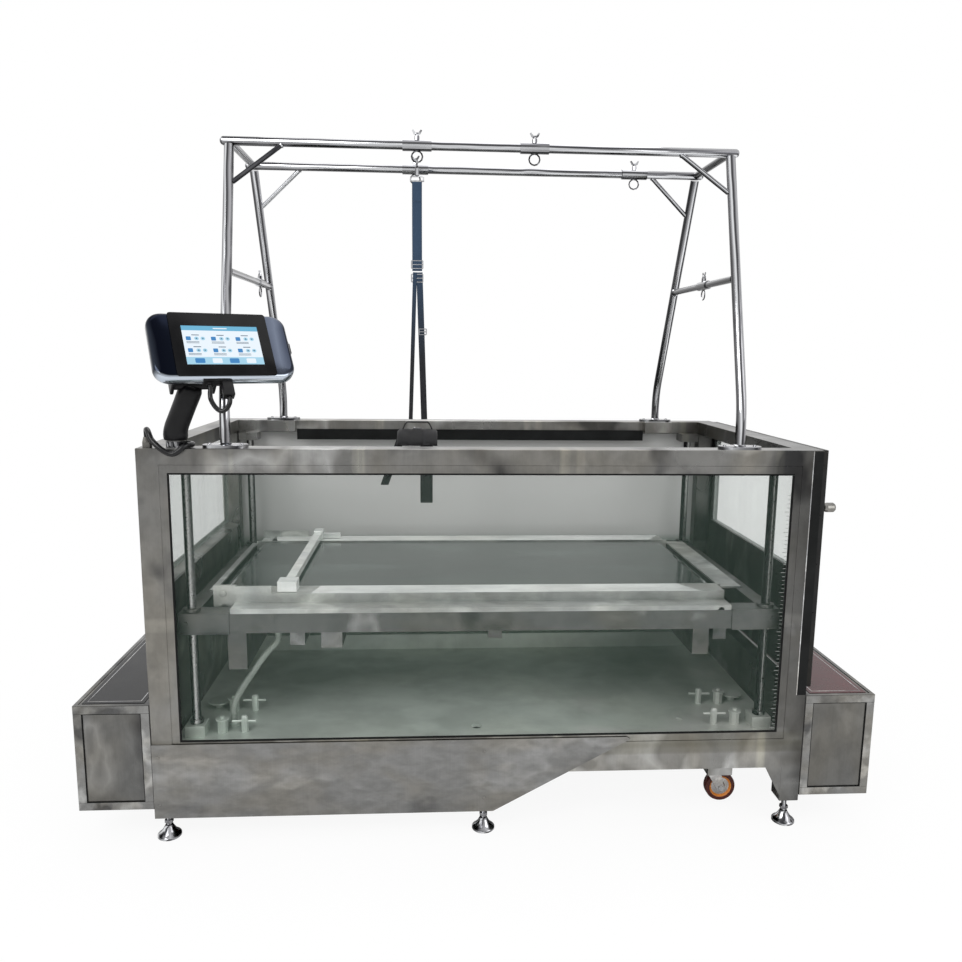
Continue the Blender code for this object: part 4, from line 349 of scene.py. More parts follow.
def glow(name, colour, strength):
    """A lit part of the display, with the faint grid of its dots."""
    paint = Paint(name)
    dots = paint.noise(2400.0, 1.0)
    lit = paint.ramp(dots, (0.30, tuple(v * 0.96 for v in colour)), (0.70, colour))
    paint.colour(paint.mix("MULTIPLY", 1.0, lit, (0.06, 0.06, 0.06)))
    paint.join(lit, paint.shader.inputs["Emission Color"])
    paint.set(Emission_Strength=strength, Roughness=0.30, Specular_IOR_Level=0.1)
    return paint.made


# The lengthwise stops are painted light and shade: a brighter stretch near the right end, then darker at the right
# end. The bands are painted reflections.
FRAME_STEEL = steel("frame_steel", (0.075, 0.075, 0.076), (0.225, 0.223, 0.214), (0.42, 0.42, 0.41), 2.8,
                    (1.0, 1.0, 0.8), 0.22, 0.36, lengthwise=((0.0, 1.0), (0.90, 1.15), (0.95, 0.60), (1.0, 0.45)),
                    reflection_bands=True)
APRON_STEEL = steel("apron_steel", (0.170, 0.170, 0.168), (0.240, 0.240, 0.235), (0.310, 0.310, 0.305), 5.0,
                    (0.6, 1.0, 1.2), 0.28, 0.42)
STEP_STEEL = steel("step_steel", (0.075, 0.075, 0.076), (0.155, 0.155, 0.151), (0.24, 0.24, 0.235), 3.4,
                   (1.0, 1.0, 0.6), 0.22, 0.36)
TRIM_STEEL = steel("trim_steel", 0.10, (0.24, 0.24, 0.235), (0.44, 0.44, 0.43), 6.0)
DOOR_STEEL = steel("door_steel", (0.010, 0.010, 0.011), 0.035, 0.12, 4.0,
                   (1.0, 1.0, 0.5), 0.36, 0.50)
LIFT_STEEL = steel("lift_steel", (0.060, 0.062, 0.062), (0.130, 0.130, 0.128), 0.26, 4.0,
                   (0.8, 1.0, 1.0), 0.34, 0.48)
DECK_STEEL = steel("deck_steel", (0.24, 0.245, 0.24), (0.40, 0.41, 0.40), (0.60, 0.62, 0.60), 3.4,
                   (0.8, 1.0, 1.0), 0.32, 0.46, 0.06, 0.8)
RAIL_STEEL = steel("rail_steel", (0.62, 0.65, 0.63), (0.84, 0.87, 0.85), (0.95, 0.96, 0.95), 2.4,
                   (0.5, 1.0, 1.0), 0.18, 0.30, 0.04, 0.35)
# The lengthwise stops are painted light and shade: darker toward both ends of the floor, most at the right.
FLOOR_STEEL = steel("floor_steel", (0.60, 0.68, 0.61), (0.80, 0.88, 0.81), (0.94, 0.97, 0.93), 1.3,
                    (0.8, 1.0, 1.0), 0.34, 0.50, 0.04, 0.35,
                    ((0.05, 0.80), (0.35, 0.95), (0.60, 1.0), (0.80, 0.66), (1.0, 0.55)))
BRIGHT_STEEL = steel("bright_steel", (0.22, 0.22, 0.23), (0.50, 0.50, 0.51), (0.82, 0.83, 0.84), 9.0)
HOIST_CHROME = chrome_tube("hoist_chrome", (2.6, 2.6, 3.2))
SMALL_CHROME = chrome_tube("small_chrome", (26.0, 26.0, 26.0))
CLEAR = clear_glass("clear_pane", (0.22, 0.33, 0.27), 0.045)
LEFT_PANE = clear_glass("left_pane", (0.50, 0.56, 0.52), 0.34)
DOOR_PANE = clear_glass("door_pane", (0.80, 0.86, 0.82), 0.30)
REAR_PANE = rear_glass("rear_pane")
BELT = belt_rubber("belt_top")
MATTE_BLACK = plastic("matte_black", (0.0045, 0.0045, 0.0050), shine=0.18)
GLOSS_BLACK = plastic("gloss_black", (0.0025, 0.0025, 0.0030), 0.05, 0.10, 700.0, 0.01, 0.08)
STEP_MAT = plastic("step_mat", (0.006, 0.006, 0.007), 0.22, 0.40, 420.0, 0.25, 0.22)
RED_MAT = plastic("red_mat", (0.060, 0.010, 0.012), 0.20, 0.36, 420.0, 0.25, 0.30)
CABLE_BLACK = plastic("cable_black", (0.004, 0.004, 0.0045), 0.16, 0.30, 500.0, 0.05, 0.30)
TREAD_RED = plastic("tread_red", (0.060, 0.012, 0.008), 0.28, 0.42, shine=0.3)
HUB_ORANGE = plastic("hub_orange", (0.62, 0.20, 0.020), 0.30, 0.45)
HOSE_GREY = plastic("hose_grey", (0.20, 0.225, 0.20), 0.30, 0.45)
MACHINE_DARK = plastic("machine_dark", (0.06, 0.07, 0.08), 0.35, 0.5)
SEAL_BLACK = plastic("seal_black", (0.004, 0.0045, 0.0045), 0.40, 0.55, shine=0.12)
MARK_GREY = plastic("mark_grey", (0.20, 0.21, 0.20), 0.45, 0.60, shine=0.2)
SCREW_METAL = screw_metal("screw_metal")
STRAP_BLUE = webbing("strap_blue", (0.030, 0.060, 0.110), (0.012, 0.013, 0.016), (1.45, 1.80))
HARNESS_WEB = webbing("harness_web", (0.016, 0.016, 0.018), (0.009, 0.009, 0.010))
HARNESS_PAD = webbing("harness_pad", (0.012, 0.012, 0.013), (0.006, 0.006, 0.007))
SCREEN_WHITE = glow("screen_white", (0.80, 0.88, 0.95), 0.97)
SCREEN_BAND = glow("screen_band", (0.14, 0.42, 0.62), 1.0)
SCREEN_PALE = glow("screen_pale", (0.36, 0.62, 0.78), 1.0)
SCREEN_BLUE = glow("screen_blue", (0.05, 0.22, 0.50), 1.0)
SCREEN_INK = glow("screen_ink", (0.06, 0.10, 0.15), 1.0)


# Mesh pieces

def finish_mesh(name, bm, materials, smooth=True, sharp=35.0):
    bmesh.ops.recalc_face_normals(bm, faces=bm.faces)
    mesh = bpy.data.meshes.new(name)
    bm.to_mesh(mesh)
    bm.free()
    for material in materials if isinstance(materials, (list, tuple)) else [materials]:
        mesh.materials.append(material)
    made = link(name, mesh)
    if smooth:
        mesh.shade_smooth()
        mesh.set_sharp_from_angle(angle=math.radians(sharp))
    return made


def circle(count):
    return [(math.cos(2 * math.pi * k / count), math.sin(2 * math.pi * k / count)) for k in range(count)]


def bridge(bm, low, high, slot=0):
    """Faces between two rings of as many points."""
    for k in range(len(low)):
        after = (k + 1) % len(low)
        bm.faces.new((low[k], low[after], high[after], high[k])).material_index = slot


def loft(bm, rings, slots=0):
    """Skins a row of rings and closes both ends; slots is one material slot or one for each stretch."""
    if isinstance(slots, int):
        slots = [slots] * (len(rings) - 1)
    for low, high, slot in zip(rings, rings[1:], slots):
        bridge(bm, low, high, slot)
    bm.faces.new(rings[0]).material_index = slots[0]
    bm.faces.new(rings[-1]).material_index = slots[-1]


def add_tube(bm, points, radii, sides=24, slot=0):
    """A round bar along points, radii being one number or one for each point."""
    points = [Vector(p) for p in points]
    if isinstance(radii, float):
        radii = [radii] * len(points)
    side = (points[1] - points[0]).normalized().orthogonal().normalized()
    rings = []
    for index, point in enumerate(points):
        ahead = (points[min(index + 1, len(points) - 1)] - points[max(index - 1, 0)]).normalized()
        side = (side - ahead * side.dot(ahead)).normalized()
        other = ahead.cross(side)
        rings.append([bm.verts.new(point + (side * a + other * b) * radii[index]) for a, b in circle(sides)])
    loft(bm, rings, slot)


def add_lathe(bm, profile, centre, axis="Z", sides=32, slots=0):
    """Turns a profile of (radius, height) points about an axis through centre."""
    centre = Vector(centre)
    axes = Matrix.Identity(3)
    one, two, up = (axes[k] for k in {"Z": (0, 1, 2), "Y": (2, 0, 1), "X": (1, 2, 0)}[axis])
    loft(bm, [[bm.verts.new(centre + up * height + (one * a + two * b) * max(radius, 1e-4)) for a, b in circle(sides)]
              for radius, height in profile], slots)


def add_block(bm, x, y, z, edge=0.001, segments=2, slot=0):
    """A block between the two values of x, of y and of z, with its edges bevelled by edge."""
    made = bmesh.ops.create_cube(bm, size=1.0)["verts"]
    for vert in made:
        vert.co = Vector([ends[0] if value < 0 else ends[1] for value, ends in zip(vert.co, (x, y, z))])
    for face in set(face for vert in made for face in vert.link_faces):
        face.material_index = slot
    if edge:
        edges = list(set(e for vert in made for e in vert.link_edges))
        bmesh.ops.bevel(bm, geom=edges, offset=edge, segments=segments, affect="EDGES", profile=0.6, material=slot)


def border_bars(x, z, width, gap):
    """The four bars of a border inside the rectangle x by z, each as its own x and z."""
    (x0, x1), (z0, z1) = x, z
    sides = (z0 + width + gap, z1 - width - gap)
    return (((x0, x1), (z0, z0 + width)), ((x0, x1), (z1 - width, z1)),
            ((x0, x0 + width), sides), ((x1 - width, x1), sides))


def smooth_line(points, step):
    """A Catmull-Rom line through points, with a point about every step."""
    points = [Vector(p) for p in points]
    out = [points[0]]
    for index in range(len(points) - 1):
        a = points[max(index - 1, 0)]
        b, c = points[index], points[index + 1]
        d = points[min(index + 2, len(points) - 1)]
        count = max(1, round((c - b).length / step))
        for k in range(1, count + 1):
            t = k / count
            out.append(0.5 * ((2 * b) + (c - a) * t + (2 * a - 5 * b + 4 * c - d) * t * t
                              + (3 * b - a - 3 * c + d) * t ** 3))
    return out


def ride(made, body, slot, *replaced):
    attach(made, body)
    if replaced:
        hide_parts(*replaced)


def piece(name, bm, materials, body, slot, *replaced, **style):
    """A mesh piece that moves with a body."""
    made = finish_mesh(name, bm, materials, **style)
    ride(made, body, slot, *replaced)
    return made


def body_of(node):
    return NODES[node]["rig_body"]


def middle_of(node):
    """The middle of a CAD solid's box."""
    return [(a + b) / 2 for a, b in zip(*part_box(node))]


# Materials on the solids that stay as they are

COLLARS = ("front_collar_1", "front_collar_2", "rear_collar_1", "rear_collar_2", "left_collar", "right_collar")
for material, nodes in (
        (FRAME_STEEL, ("tank_frame",)), (APRON_STEEL, ("front_apron",)), (STEP_STEEL, ("left_step", "right_step")),
        (LIFT_STEEL, ("carriage_frame",)), (DECK_STEEL, ("deck_frame",)), (RAIL_STEEL, ("stop_bar",)),
        (FLOOR_STEEL, ("floor_pan",)), (CLEAR, ("front_glass",)), (REAR_PANE, ("rear_glass",)),
        (LEFT_PANE, ("left_glass",)), (DOOR_PANE, ("door_glass",)), (DOOR_STEEL, ("door_frame",)),
        (BELT, ("running_belt",)), (GLOSS_BLACK, ("touch_panel",)), (MATTE_BLACK, ("power_switch",)),
        (MACHINE_DARK, ("service_unit",)), (TRIM_STEEL, ("door_knob",)), (HOIST_CHROME, COLLARS),
        (BRIGHT_STEEL, ("drive_roller", "tail_roller", "front_caster_fork", "rear_caster_fork")),
        (SMALL_CHROME, ("snap_hook", *(collar + "_wing_screw" for collar in COLLARS)))):
    for node in nodes:
        NODES[node].data.materials.clear()
        NODES[node].data.materials.append(material)


# Cables and the ribbed hose

def cord_curve(name, points, radius, material):
    data = bpy.data.curves.new(name, "CURVE")
    data.dimensions = "3D"
    data.bevel_depth = radius
    data.bevel_resolution = 6
    data.use_fill_caps = True
    line = data.splines.new("POLY")
    line.points.add(len(points) - 1)
    for spot, point in zip(line.points, points):
        spot.co = (*point, 1.0)
    data.materials.append(material)
    return link(name, data)


def length_of(points):
    return sum((b - a).length for a, b in zip(points, points[1:]))


def cables():
    loop = [(-0.7140, -0.5270, 1.3550), (-0.7116, -0.5321, 1.3471), (-0.7132, -0.5344, 1.3378),
            (-0.7174, -0.5352, 1.3290), (-0.7240, -0.5356, 1.3218), (-0.7327, -0.5355, 1.3175),
            (-0.7420, -0.5343, 1.3196), (-0.7492, -0.5347, 1.3260), (-0.7538, -0.5385, 1.3338),
            (-0.7573, -0.5426, 1.3420), (-0.7604, -0.5443, 1.3510), (-0.7621, -0.5411, 1.3601),
            (-0.7630, -0.5366, 1.3687), (-0.7629, -0.5322, 1.3775), (-0.7653, -0.5270, 1.3853)]
    foot = [(-0.8649, -0.4185, 1.2145), (-0.8537, -0.4190, 1.2145), (-0.8468, -0.4274, 1.2145),
            (-0.8463, -0.4385, 1.2145), (-0.8492, -0.4493, 1.2145), (-0.8547, -0.4590, 1.2149),
            (-0.8621, -0.4661, 1.2105), (-0.8699, -0.4701, 1.2037), (-0.8784, -0.4716, 1.1966),
            (-0.8884, -0.4715, 1.1916), (-0.8995, -0.4715, 1.1921), (-0.9098, -0.4714, 1.1964),
            (-0.9194, -0.4710, 1.2023), (-0.9283, -0.4697, 1.2090), (-0.9365, -0.4674, 1.2163),
            (-0.9443, -0.4639, 1.2235), (-0.9516, -0.4595, 1.2308), (-0.9570, -0.4546, 1.2393),
            (-0.9615, -0.4491, 1.2479), (-0.9668, -0.4415, 1.2543), (-0.9724, -0.4324, 1.2561),
            (-0.9740, -0.4284, 1.2468), (-0.9740, -0.4285, 1.2356)]
    for name, node, points, radius, body in (("loop_lead", "console_cable", loop, 0.0065, "console_head"),
                                             ("arm_lead", "base_cable", foot, 0.0080, "tank")):
        line = smooth_line(points, 0.004)
        made = cord_curve(name, line, radius, CABLE_BLACK)
        ride(made, body, "cable_rubber", node)


def ribbed_hose():
    """The hose with the motor's leads: rounded ribs all along it, with plain ends in their glands."""
    x0, x1, y = -0.785, -0.640, -0.385
    foot, head = 0.3253, 0.6247
    route = [place(x0 + dx, y, foot + dz) for dx, dz in ((0.0, 0.0), (0.0, 0.012), (0.0, 0.024), (0.002, 0.050),
                                                         (0.018, 0.088), (0.054, 0.145))]
    route += [place(x1 - dx, y, head - dz) for dx, dz in ((0.044, 0.086), (0.006, 0.042), (0.0, 0.020),
                                                          (0.0, 0.010), (0.0, 0.0))]
    line = smooth_line(route, 0.0013)
    gland, pitch = 0.016, 0.0052
    radii = []
    run = 0.0
    total = length_of(line)
    for index, point in enumerate(line):
        run += (point - line[index - 1]).length if index else 0.0
        plain = min(run, total - run) < gland
        radii.append(0.0105 if plain else 0.0095 + 0.0011 * math.cos(2 * math.pi * run / pitch))
    bm = bmesh.new()
    add_tube(bm, line, radii, 20)
    made = finish_mesh("motor_hose", bm, HOSE_GREY, sharp=80.0)
    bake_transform(made)
    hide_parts("motor_conduit")


cables()
ribbed_hose()


# Hoist tubes

FOOT_X, FOOT_Y = 0.757, 0.476
HEAD_X, HEAD_Y = 0.785, 0.175
BEAM_Z = 2.115
FLANGE_TOP = 1.2133
BEND = 0.060

def leg_points(sx, sy):
    """A hoist leg from its flange past the bend at its knee up to the beam; sx and sy pick the corner."""
    base = place(sx * FOOT_X, sy * FOOT_Y, 1.2068)
    knee = place(sx * FOOT_X, sy * FOOT_Y, 1.320)
    head = place(sx * HEAD_X, sy * HEAD_Y, BEAM_Z)
    down = (base - knee).normalized()
    up = (head - knee).normalized()
    points = [base]
    for step in range(9):
        t = step / 8
        points.append(knee + down * BEND * (1 - t) ** 2 + up * BEND * t ** 2)
    points.append(head - up * 0.004)
    return points


def leg_at(sx, sy, z):
    """Where a leg passes a height above its knee."""
    low, high = leg_points(sx, sy)[-2:]
    return low.lerp(high, (z - low.z) / (high.z - low.z))


def flange(bm, base):
    """A foot plate with round ends, a weld round the leg and two dome screws."""
    reach, radius = 0.032, 0.033
    outline = []
    for centre, start in ((reach, -math.pi / 2), (-reach, math.pi / 2)):
        for step in range(17):
            angle = start + math.pi * step / 16
            outline.append((centre + radius * math.cos(angle), radius * math.sin(angle)))
    loft(bm, [[bm.verts.new((base.x + u * (1 - shrink / (reach + radius)), base.y + v * (1 - shrink / radius), z))
               for u, v in outline] for shrink, z in ((0.0, 1.2053), (0.0, 1.2125), (0.0012, FLANGE_TOP))])
    weld = [(0.015, 0.0), (0.0185, 0.001), (0.0165, 0.004), (0.0148, 0.0055)]
    add_lathe(bm, weld, (base.x, base.y, FLANGE_TOP - 0.0002))
    dome = [(0.0058, 0.0), (0.0055, 0.0022), (0.0030, 0.0038), (0.0, 0.0040)]
    for u in (-0.046, 0.046):
        add_lathe(bm, dome, (base.x + u, base.y, FLANGE_TOP - 0.0002), sides=16)


def hoist():
    for name, sx in (("hoist_left_end", -1), ("hoist_right_end", 1)):
        bm = bmesh.new()
        for sy in (-1, 1):
            points = leg_points(sx, sy)
            points[-1] -= (points[-1] - points[-2]).normalized() * 0.012
            add_tube(bm, points, 0.015, 32)
            flange(bm, points[0])
        add_tube(bm, [place(sx * HEAD_X, side * 0.162, BEAM_Z) for side in (-1, 1)], 0.0125, 32)
        low, high = leg_at(sx, -1, 1.715), leg_at(sx, 1, 1.715)
        along = (high - low).normalized()
        add_tube(bm, [low, high], 0.011, 32)
        for spot, way in ((low, along), (high, -along)):
            add_tube(bm, [spot + way * run for run in (0.012, 0.016, 0.019)], [0.0150, 0.0135, 0.0112])
        tubes = name.replace("hoist", "frame") + "_tubes"
        piece(tubes, bm, HOIST_CHROME, body_of(name), "polished_steel", name)
    for name, sy in (("hoist_front_beam", -1), ("hoist_rear_beam", 1)):
        bm = bmesh.new()
        end = [(0.0006, -0.813), (0.006, -0.8122), (0.0105, -0.809), (0.0135, -0.803)]
        add_lathe(bm, end + [(radius, -run) for radius, run in end[::-1]], place(0.0, sy * HEAD_Y, BEAM_Z), "X")
        for sx in (-1, 1):
            low = leg_at(sx, sy, 1.975)
            high = place(sx * 0.615, sy * HEAD_Y, BEAM_Z)
            way = (high - low).normalized()
            add_tube(bm, [low + way * 0.0165, high - way * 0.006], 0.0075)
            add_tube(bm, [high - way * 0.020, high - way * 0.0155], [0.0078, 0.0100], 20)
        tube = name.replace("hoist", "frame") + "_tube"
        piece(tube, bm, HOIST_CHROME, body_of(name), "polished_steel", name)


hoist()


# Lead screws, feet and caster wheels

def lead_screws():
    root, crest, pitch = 0.0132, 0.0139, 0.0032
    for node in [f"{row}_{end}_lead_screw" for row in ("front", "rear") for end in ("left", "right")]:
        x, y, _ = middle_of(node)
        bottom, top = (corner[2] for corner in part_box(node))
        base = bottom + 0.0273
        profile = [(0.0136, bottom), (0.0136, base), (0.0198, base + 0.0002), (0.0200, base + 0.001),
                   (0.0200, base + 0.011), (0.0198, base + 0.0118), (0.0136, base + 0.012)]
        z = base + 0.016
        while z < top - 0.010:
            profile += [(crest, z), (crest, z + 0.0014), (root, z + 0.0019), (root, z + 0.0027)]
            z += pitch
        profile.append((0.0136, top))
        bm = bmesh.new()
        add_lathe(bm, profile, (x, y, 0.0), sides=24)
        piece(node + "_thread", bm, SCREW_METAL, body_of(node), "polished_steel", node, sharp=50.0)


def feet():
    profile = [(0.0345, 0.0002), (0.0355, 0.0012), (0.0355, 0.0062), (0.0345, 0.0075), (0.0300, 0.0105),
               (0.0245, 0.0160), (0.0190, 0.0230), (0.0145, 0.0310), (0.0120, 0.0345), (0.0118, 0.0370),
               (0.0080, 0.0380), (0.0080, 0.144)]
    for node in [f"{row}_{spot}_foot" for row in ("front", "rear") for spot in ("left", "middle", "right")]:
        x, y, _ = middle_of(node)
        bm = bmesh.new()
        add_lathe(bm, profile, (x, y, 0.0), sides=40)
        nut = bmesh.ops.create_cone(bm, cap_ends=True, segments=6, radius1=0.0135, radius2=0.0135, depth=0.009)
        for vert in nut["verts"]:
            vert.co += Vector((x, y, 0.0495))
        piece(node + "_turned", bm, SMALL_CHROME, body_of(node), "polished_steel", node)


def wheels():
    half = [(0.0068, 0.0178), (0.0135, 0.0178), (0.0145, 0.0165), (0.0165, 0.0100), (0.0300, 0.0090),
            (0.0345, 0.0135), (0.0365, 0.0148), (0.0430, 0.0156), (0.0480, 0.0145), (0.0498, 0.0105)]
    profile = [(radius, -run) for radius, run in half] + [(0.0500, 0.0)] + half[::-1]
    half_slots = [2] * 4 + [1] * 2 + [0] * 4
    for node in [f"{row}_{end}_caster_wheel" for row in ("front", "rear") for end in ("left", "right")]:
        bm = bmesh.new()
        add_lathe(bm, profile, middle_of(node), "Y", 48, half_slots + half_slots[::-1])
        piece(node + "_round", bm, [TREAD_RED, HUB_ORANGE, BRIGHT_STEEL], body_of(node), "tread_polyurethane", node)


lead_screws()
feet()
wheels()


# Console

CONSOLE = Matrix(((0.89571, -0.26697, 0.35557, -0.744), (0.44464, 0.5378, -0.71629, -0.45747),
                  (0.0, 0.79968, 0.60042, 1.499), (0.0, 0.0, 0.0, 1.0)))


def to_console(bm):
    """Brings a mesh from the console's own u, v and n to its place."""
    for vert in bm.verts:
        vert.co = CONSOLE @ vert.co


def shell_chrome(name):
    """Polished console shell with painted reflections: blue-black on its left, blue-grey on its right, and a painted
    highlight along its lower lip.
    """
    across, up = CONSOLE.col[0].xyz, CONSOLE.col[1].xyz
    middle = across.dot(CONSOLE.translation)
    paint = Paint(name)
    paint.set(Metallic=1.0)
    wave = paint.noise(7.0, 2.0, 0.5, 0.8)
    # Painted reflections: the tone runs from blue-black on the left to blue-grey on the right.
    side = paint.shift(paint.along("Object", across, middle - 0.192, middle + 0.192), wave, 0.10)
    tone = paint.ramp(side, (0.01, (0.03, 0.036, 0.05)), (0.05, (0.004, 0.005, 0.010)), (0.20, (0.006, 0.008, 0.014)),
                      (0.80, (0.020, 0.024, 0.036)), (0.90, (0.055, 0.064, 0.085)), (0.97, (0.020, 0.024, 0.036)))
    # Painted highlight along the lower lip, by the direction the surface faces.
    lip = paint.along("Normal", up, 0.15, -0.95)
    glint = paint.ramp(lip, (0.40, 0.0), (0.72, 1.0))
    paint.colour(paint.mix("MIX", glint, tone, (0.50, 0.55, 0.62)))
    paint.rough(wave, 0.05, 0.12)
    return paint.made


def rounded(width, height, corner, steps=10):
    outline = []
    for cx, cy, start in ((1, -1, -90), (1, 1, 0), (-1, 1, 90), (-1, -1, 180)):
        for k in range(steps + 1):
            angle = math.radians(start + 90 * k / steps)
            outline.append((cx * (width / 2 - corner) + corner * math.cos(angle),
                            cy * (height / 2 - corner) + corner * math.sin(angle)))
    return outline


def console_shell():
    """Pressed and polished shell: rounded lip, drawn sides and a domed back."""
    width, height = 0.384, 0.220
    bm = bmesh.new()
    rows = []
    for shrink, n in ((0.0145, -0.0043), (0.0100, -0.0045), (0.0050, -0.0065), (0.0018, -0.0105),
                      (0.0002, -0.0165), (0.0000, -0.0240), (0.0004, -0.0325), (0.0022, -0.0390),
                      (0.0060, -0.0435), (0.0110, -0.0462), (0.0165, -0.0478)):
        outline = rounded(width - 2 * shrink, height - 2 * shrink, max(0.042 - shrink * 0.6, 0.02))
        rows.append([bm.verts.new((u, v, n)) for u, v in outline])
    loft(bm, rows)
    for side in (-1, 1):
        u = -0.076 + side * 0.0562
        add_block(bm, (u - 0.005, u + 0.005), (-0.080, -0.040), (-0.1315, -0.047), 0.004, 3, 1)
    add_block(bm, (-0.0185, 0.0105), (-0.1595, -0.108), (-0.0385, -0.0135), 0.003, 3, 1)
    gland = [(0.0095, -0.0120), (0.0095, -0.0090), (0.0085, -0.0085), (0.0085, -0.0060), (0.0095, -0.0055),
             (0.0095, 0.002)]
    add_lathe(bm, gland, (-0.050, -0.110, -0.026), "Y", 24, 1)
    add_block(bm, (-0.066, -0.004), (-0.1145, -0.106), (-0.040, -0.012), 0.0012, 2, 1)
    add_block(bm, (0.1895, 0.1925), (-0.022, 0.022), (-0.0375, -0.0145), 0.0010, 2, 1)
    to_console(bm)
    piece("console_case", bm, [shell_chrome("shell_chrome"), MATTE_BLACK], "console_head", "brushed_steel",
          "console_shell", sharp=50.0)


def console_handle():
    """The arm: a moulded casing from the ring on the rim up to the tilt barrel."""
    base = Vector((-0.896, -0.41847, 1.2258))
    bend = base + Vector((0.0, 0.0, 0.030))
    pivot = Vector((-0.83588, -0.44331, 1.38377))
    line = [base, base + Vector((0, 0, 0.002)), base + Vector((0, 0, 0.010))]
    for step in range(7):
        t = step / 6
        a = base + Vector((0, 0, 0.016))
        b = bend + (pivot - bend) * 0.16
        line.append(a * (1 - t) ** 2 + bend * 2 * t * (1 - t) + b * t * t)
    line += [bend + (pivot - bend) * t for t in (0.4, 0.6, 0.8, 0.9, 0.96, 1.0)]
    radii = [0.0300, 0.0325, 0.0338] + [0.0340 - 0.0003 * k for k in range(7)]
    radii += [0.0320, 0.0320, 0.0325, 0.0320, 0.0290, 0.0200]
    bm = bmesh.new()
    add_tube(bm, line, radii, 32)
    right = CONSOLE.col[0].xyz
    add_tube(bm, [pivot - right * 0.0505, pivot - right * 0.0495, pivot + right * 0.0495, pivot + right * 0.0505],
             [0.0125, 0.0138, 0.0138, 0.0125], 28)
    piece("console_handle", bm, MATTE_BLACK, "console_arm", "black_plastic", "console_arm", sharp=50.0)


def arm_ring():
    """The knurled steel ring at the arm's foot."""
    centre = Vector((-0.896, MIDDLE_Y - 0.478, 0.0))
    ridges, radius = 40, 0.0268
    bm = bmesh.new()
    rows = []
    for z, swell in ((1.2054, 0.0), (1.2062, 0.0008), (1.2225, 0.0008), (1.2233, 0.0)):
        row = []
        for k, (a, b) in enumerate(circle(2 * ridges)):
            reach = radius + (swell if k % 2 else 0.0)
            row.append(bm.verts.new(centre + Vector((reach * a, reach * b, z))))
        rows.append(row)
    loft(bm, rows)
    piece("arm_ring_knurl", bm, SMALL_CHROME, "tank", "polished_steel", smooth=False)


def tile(bm, outline, bottom, top, slot):
    """A raised outline on the display, open underneath."""
    low, high = ([bm.verts.new((u, v, n)) for u, v in outline] for n in (bottom, top))
    bm.faces.new(high).material_index = slot
    bridge(bm, low, high, slot)


def flat(bm, u, v, n, slot, corner=0.0):
    """A thin tile on the display, in the console's own u, v and n."""
    if corner:
        cu, cv = (u[0] + u[1]) / 2, (v[0] + v[1]) / 2
        outline = [(cu + a, cv + b) for a, b in rounded(u[1] - u[0], v[1] - v[0], corner, 4)]
    else:
        outline = [(u[0], v[0]), (u[1], v[0]), (u[1], v[1]), (u[0], v[1])]
    tile(bm, outline, 0.00005, n, slot)


def disc(bm, u, v, radius, n, slot):
    tile(bm, [(u + radius * a, v + radius * b) for a, b in circle(18)], 0.0001, n, slot)


def display():
    """A generic control page: six groups with up and down keys, a header bar and a row of keys below."""
    bm = bmesh.new()
    left, right, low, high = -0.104, 0.104, -0.070, 0.060
    flat(bm, (left, right), (low, high), 0.0004, 0)
    flat(bm, (left, right), (high - 0.016, high), 0.0005, 1)
    flat(bm, (left, right), (low, low + 0.024), 0.0005, 2)
    for column in range(3):
        for row in range(2):
            u = left + 0.008 + column * 0.067
            v = high - 0.050 - row * 0.040
            flat(bm, (u, u + 0.013), (v, v + 0.013), 0.0006, 3, 0.002)
            flat(bm, (u + 0.016, u + 0.036), (v + 0.017, v + 0.0195), 0.0006, 4)
            level = v + 0.0065
            for spot, way in ((u + 0.028, 1), (u + 0.045, -1)):
                disc(bm, spot, level, 0.0060, 0.0006, 2)
                arrow = [bm.verts.new((spot + a, level + way * b, 0.0007))
                         for a, b in ((0.0, 0.0030), (-0.0030, -0.0018), (0.0030, -0.0018))]
                bm.faces.new(arrow).material_index = 4
            for line in range(2):
                flat(bm, (u, u + 0.034), (v - 0.0055 - line * 0.004, v - 0.0040 - line * 0.004), 0.0006, 4)
    for key in range(4):
        u = left + 0.022 + key * 0.046
        flat(bm, (u, u + 0.026), (low + 0.004, low + 0.020), 0.0006, 0 if key % 2 else 3, 0.003)
    flat(bm, (left + 0.085, left + 0.123), (high - 0.010, high - 0.0065), 0.0006, 0)
    to_console(bm)
    piece("display", bm, [SCREEN_WHITE, SCREEN_BAND, SCREEN_PALE, SCREEN_BLUE, SCREEN_INK], "console_head",
          "panel_glass", smooth=False)


console_shell()
console_handle()
arm_ring()
display()


# Lead and harness

def strap_piece(bm, points, width, thick, slot=0, across=Vector((1, 0, 0))):
    """A flat strap along points, lying with its width along across, with rounded edges."""
    points = [Vector(p) for p in points]
    rings = []
    for index, point in enumerate(points):
        ahead = (points[min(index + 1, len(points) - 1)] - points[max(index - 1, 0)]).normalized()
        wide = (across - ahead * across.dot(ahead)).normalized() * width / 2
        out = ahead.cross(wide.normalized()) * thick / 2
        rings.append([bm.verts.new(point + wide * a + out * b)
                      for a, b in ((-1, -0.35), (-0.94, -1), (0.94, -1), (1, -0.35),
                                   (1, 0.35), (0.94, 1), (-0.94, 1), (-1, 0.35))])
    loft(bm, rings, slot)


def buckle(bm, x, y, z, width, height, wire=0.0018, slot=1):
    """A wire slide: two long bars, two end bars and a middle bar."""
    for row in (-1, 0, 1):
        level = z + row * height / 2
        add_tube(bm, [(x - width / 2, y, level), (x + width / 2, y, level)], wire, 12, slot)
    for side in (-1, 1):
        end = x + side * width / 2
        add_tube(bm, [(end, y, z - height / 2), (end, y, z + height / 2)], wire, 12, slot)


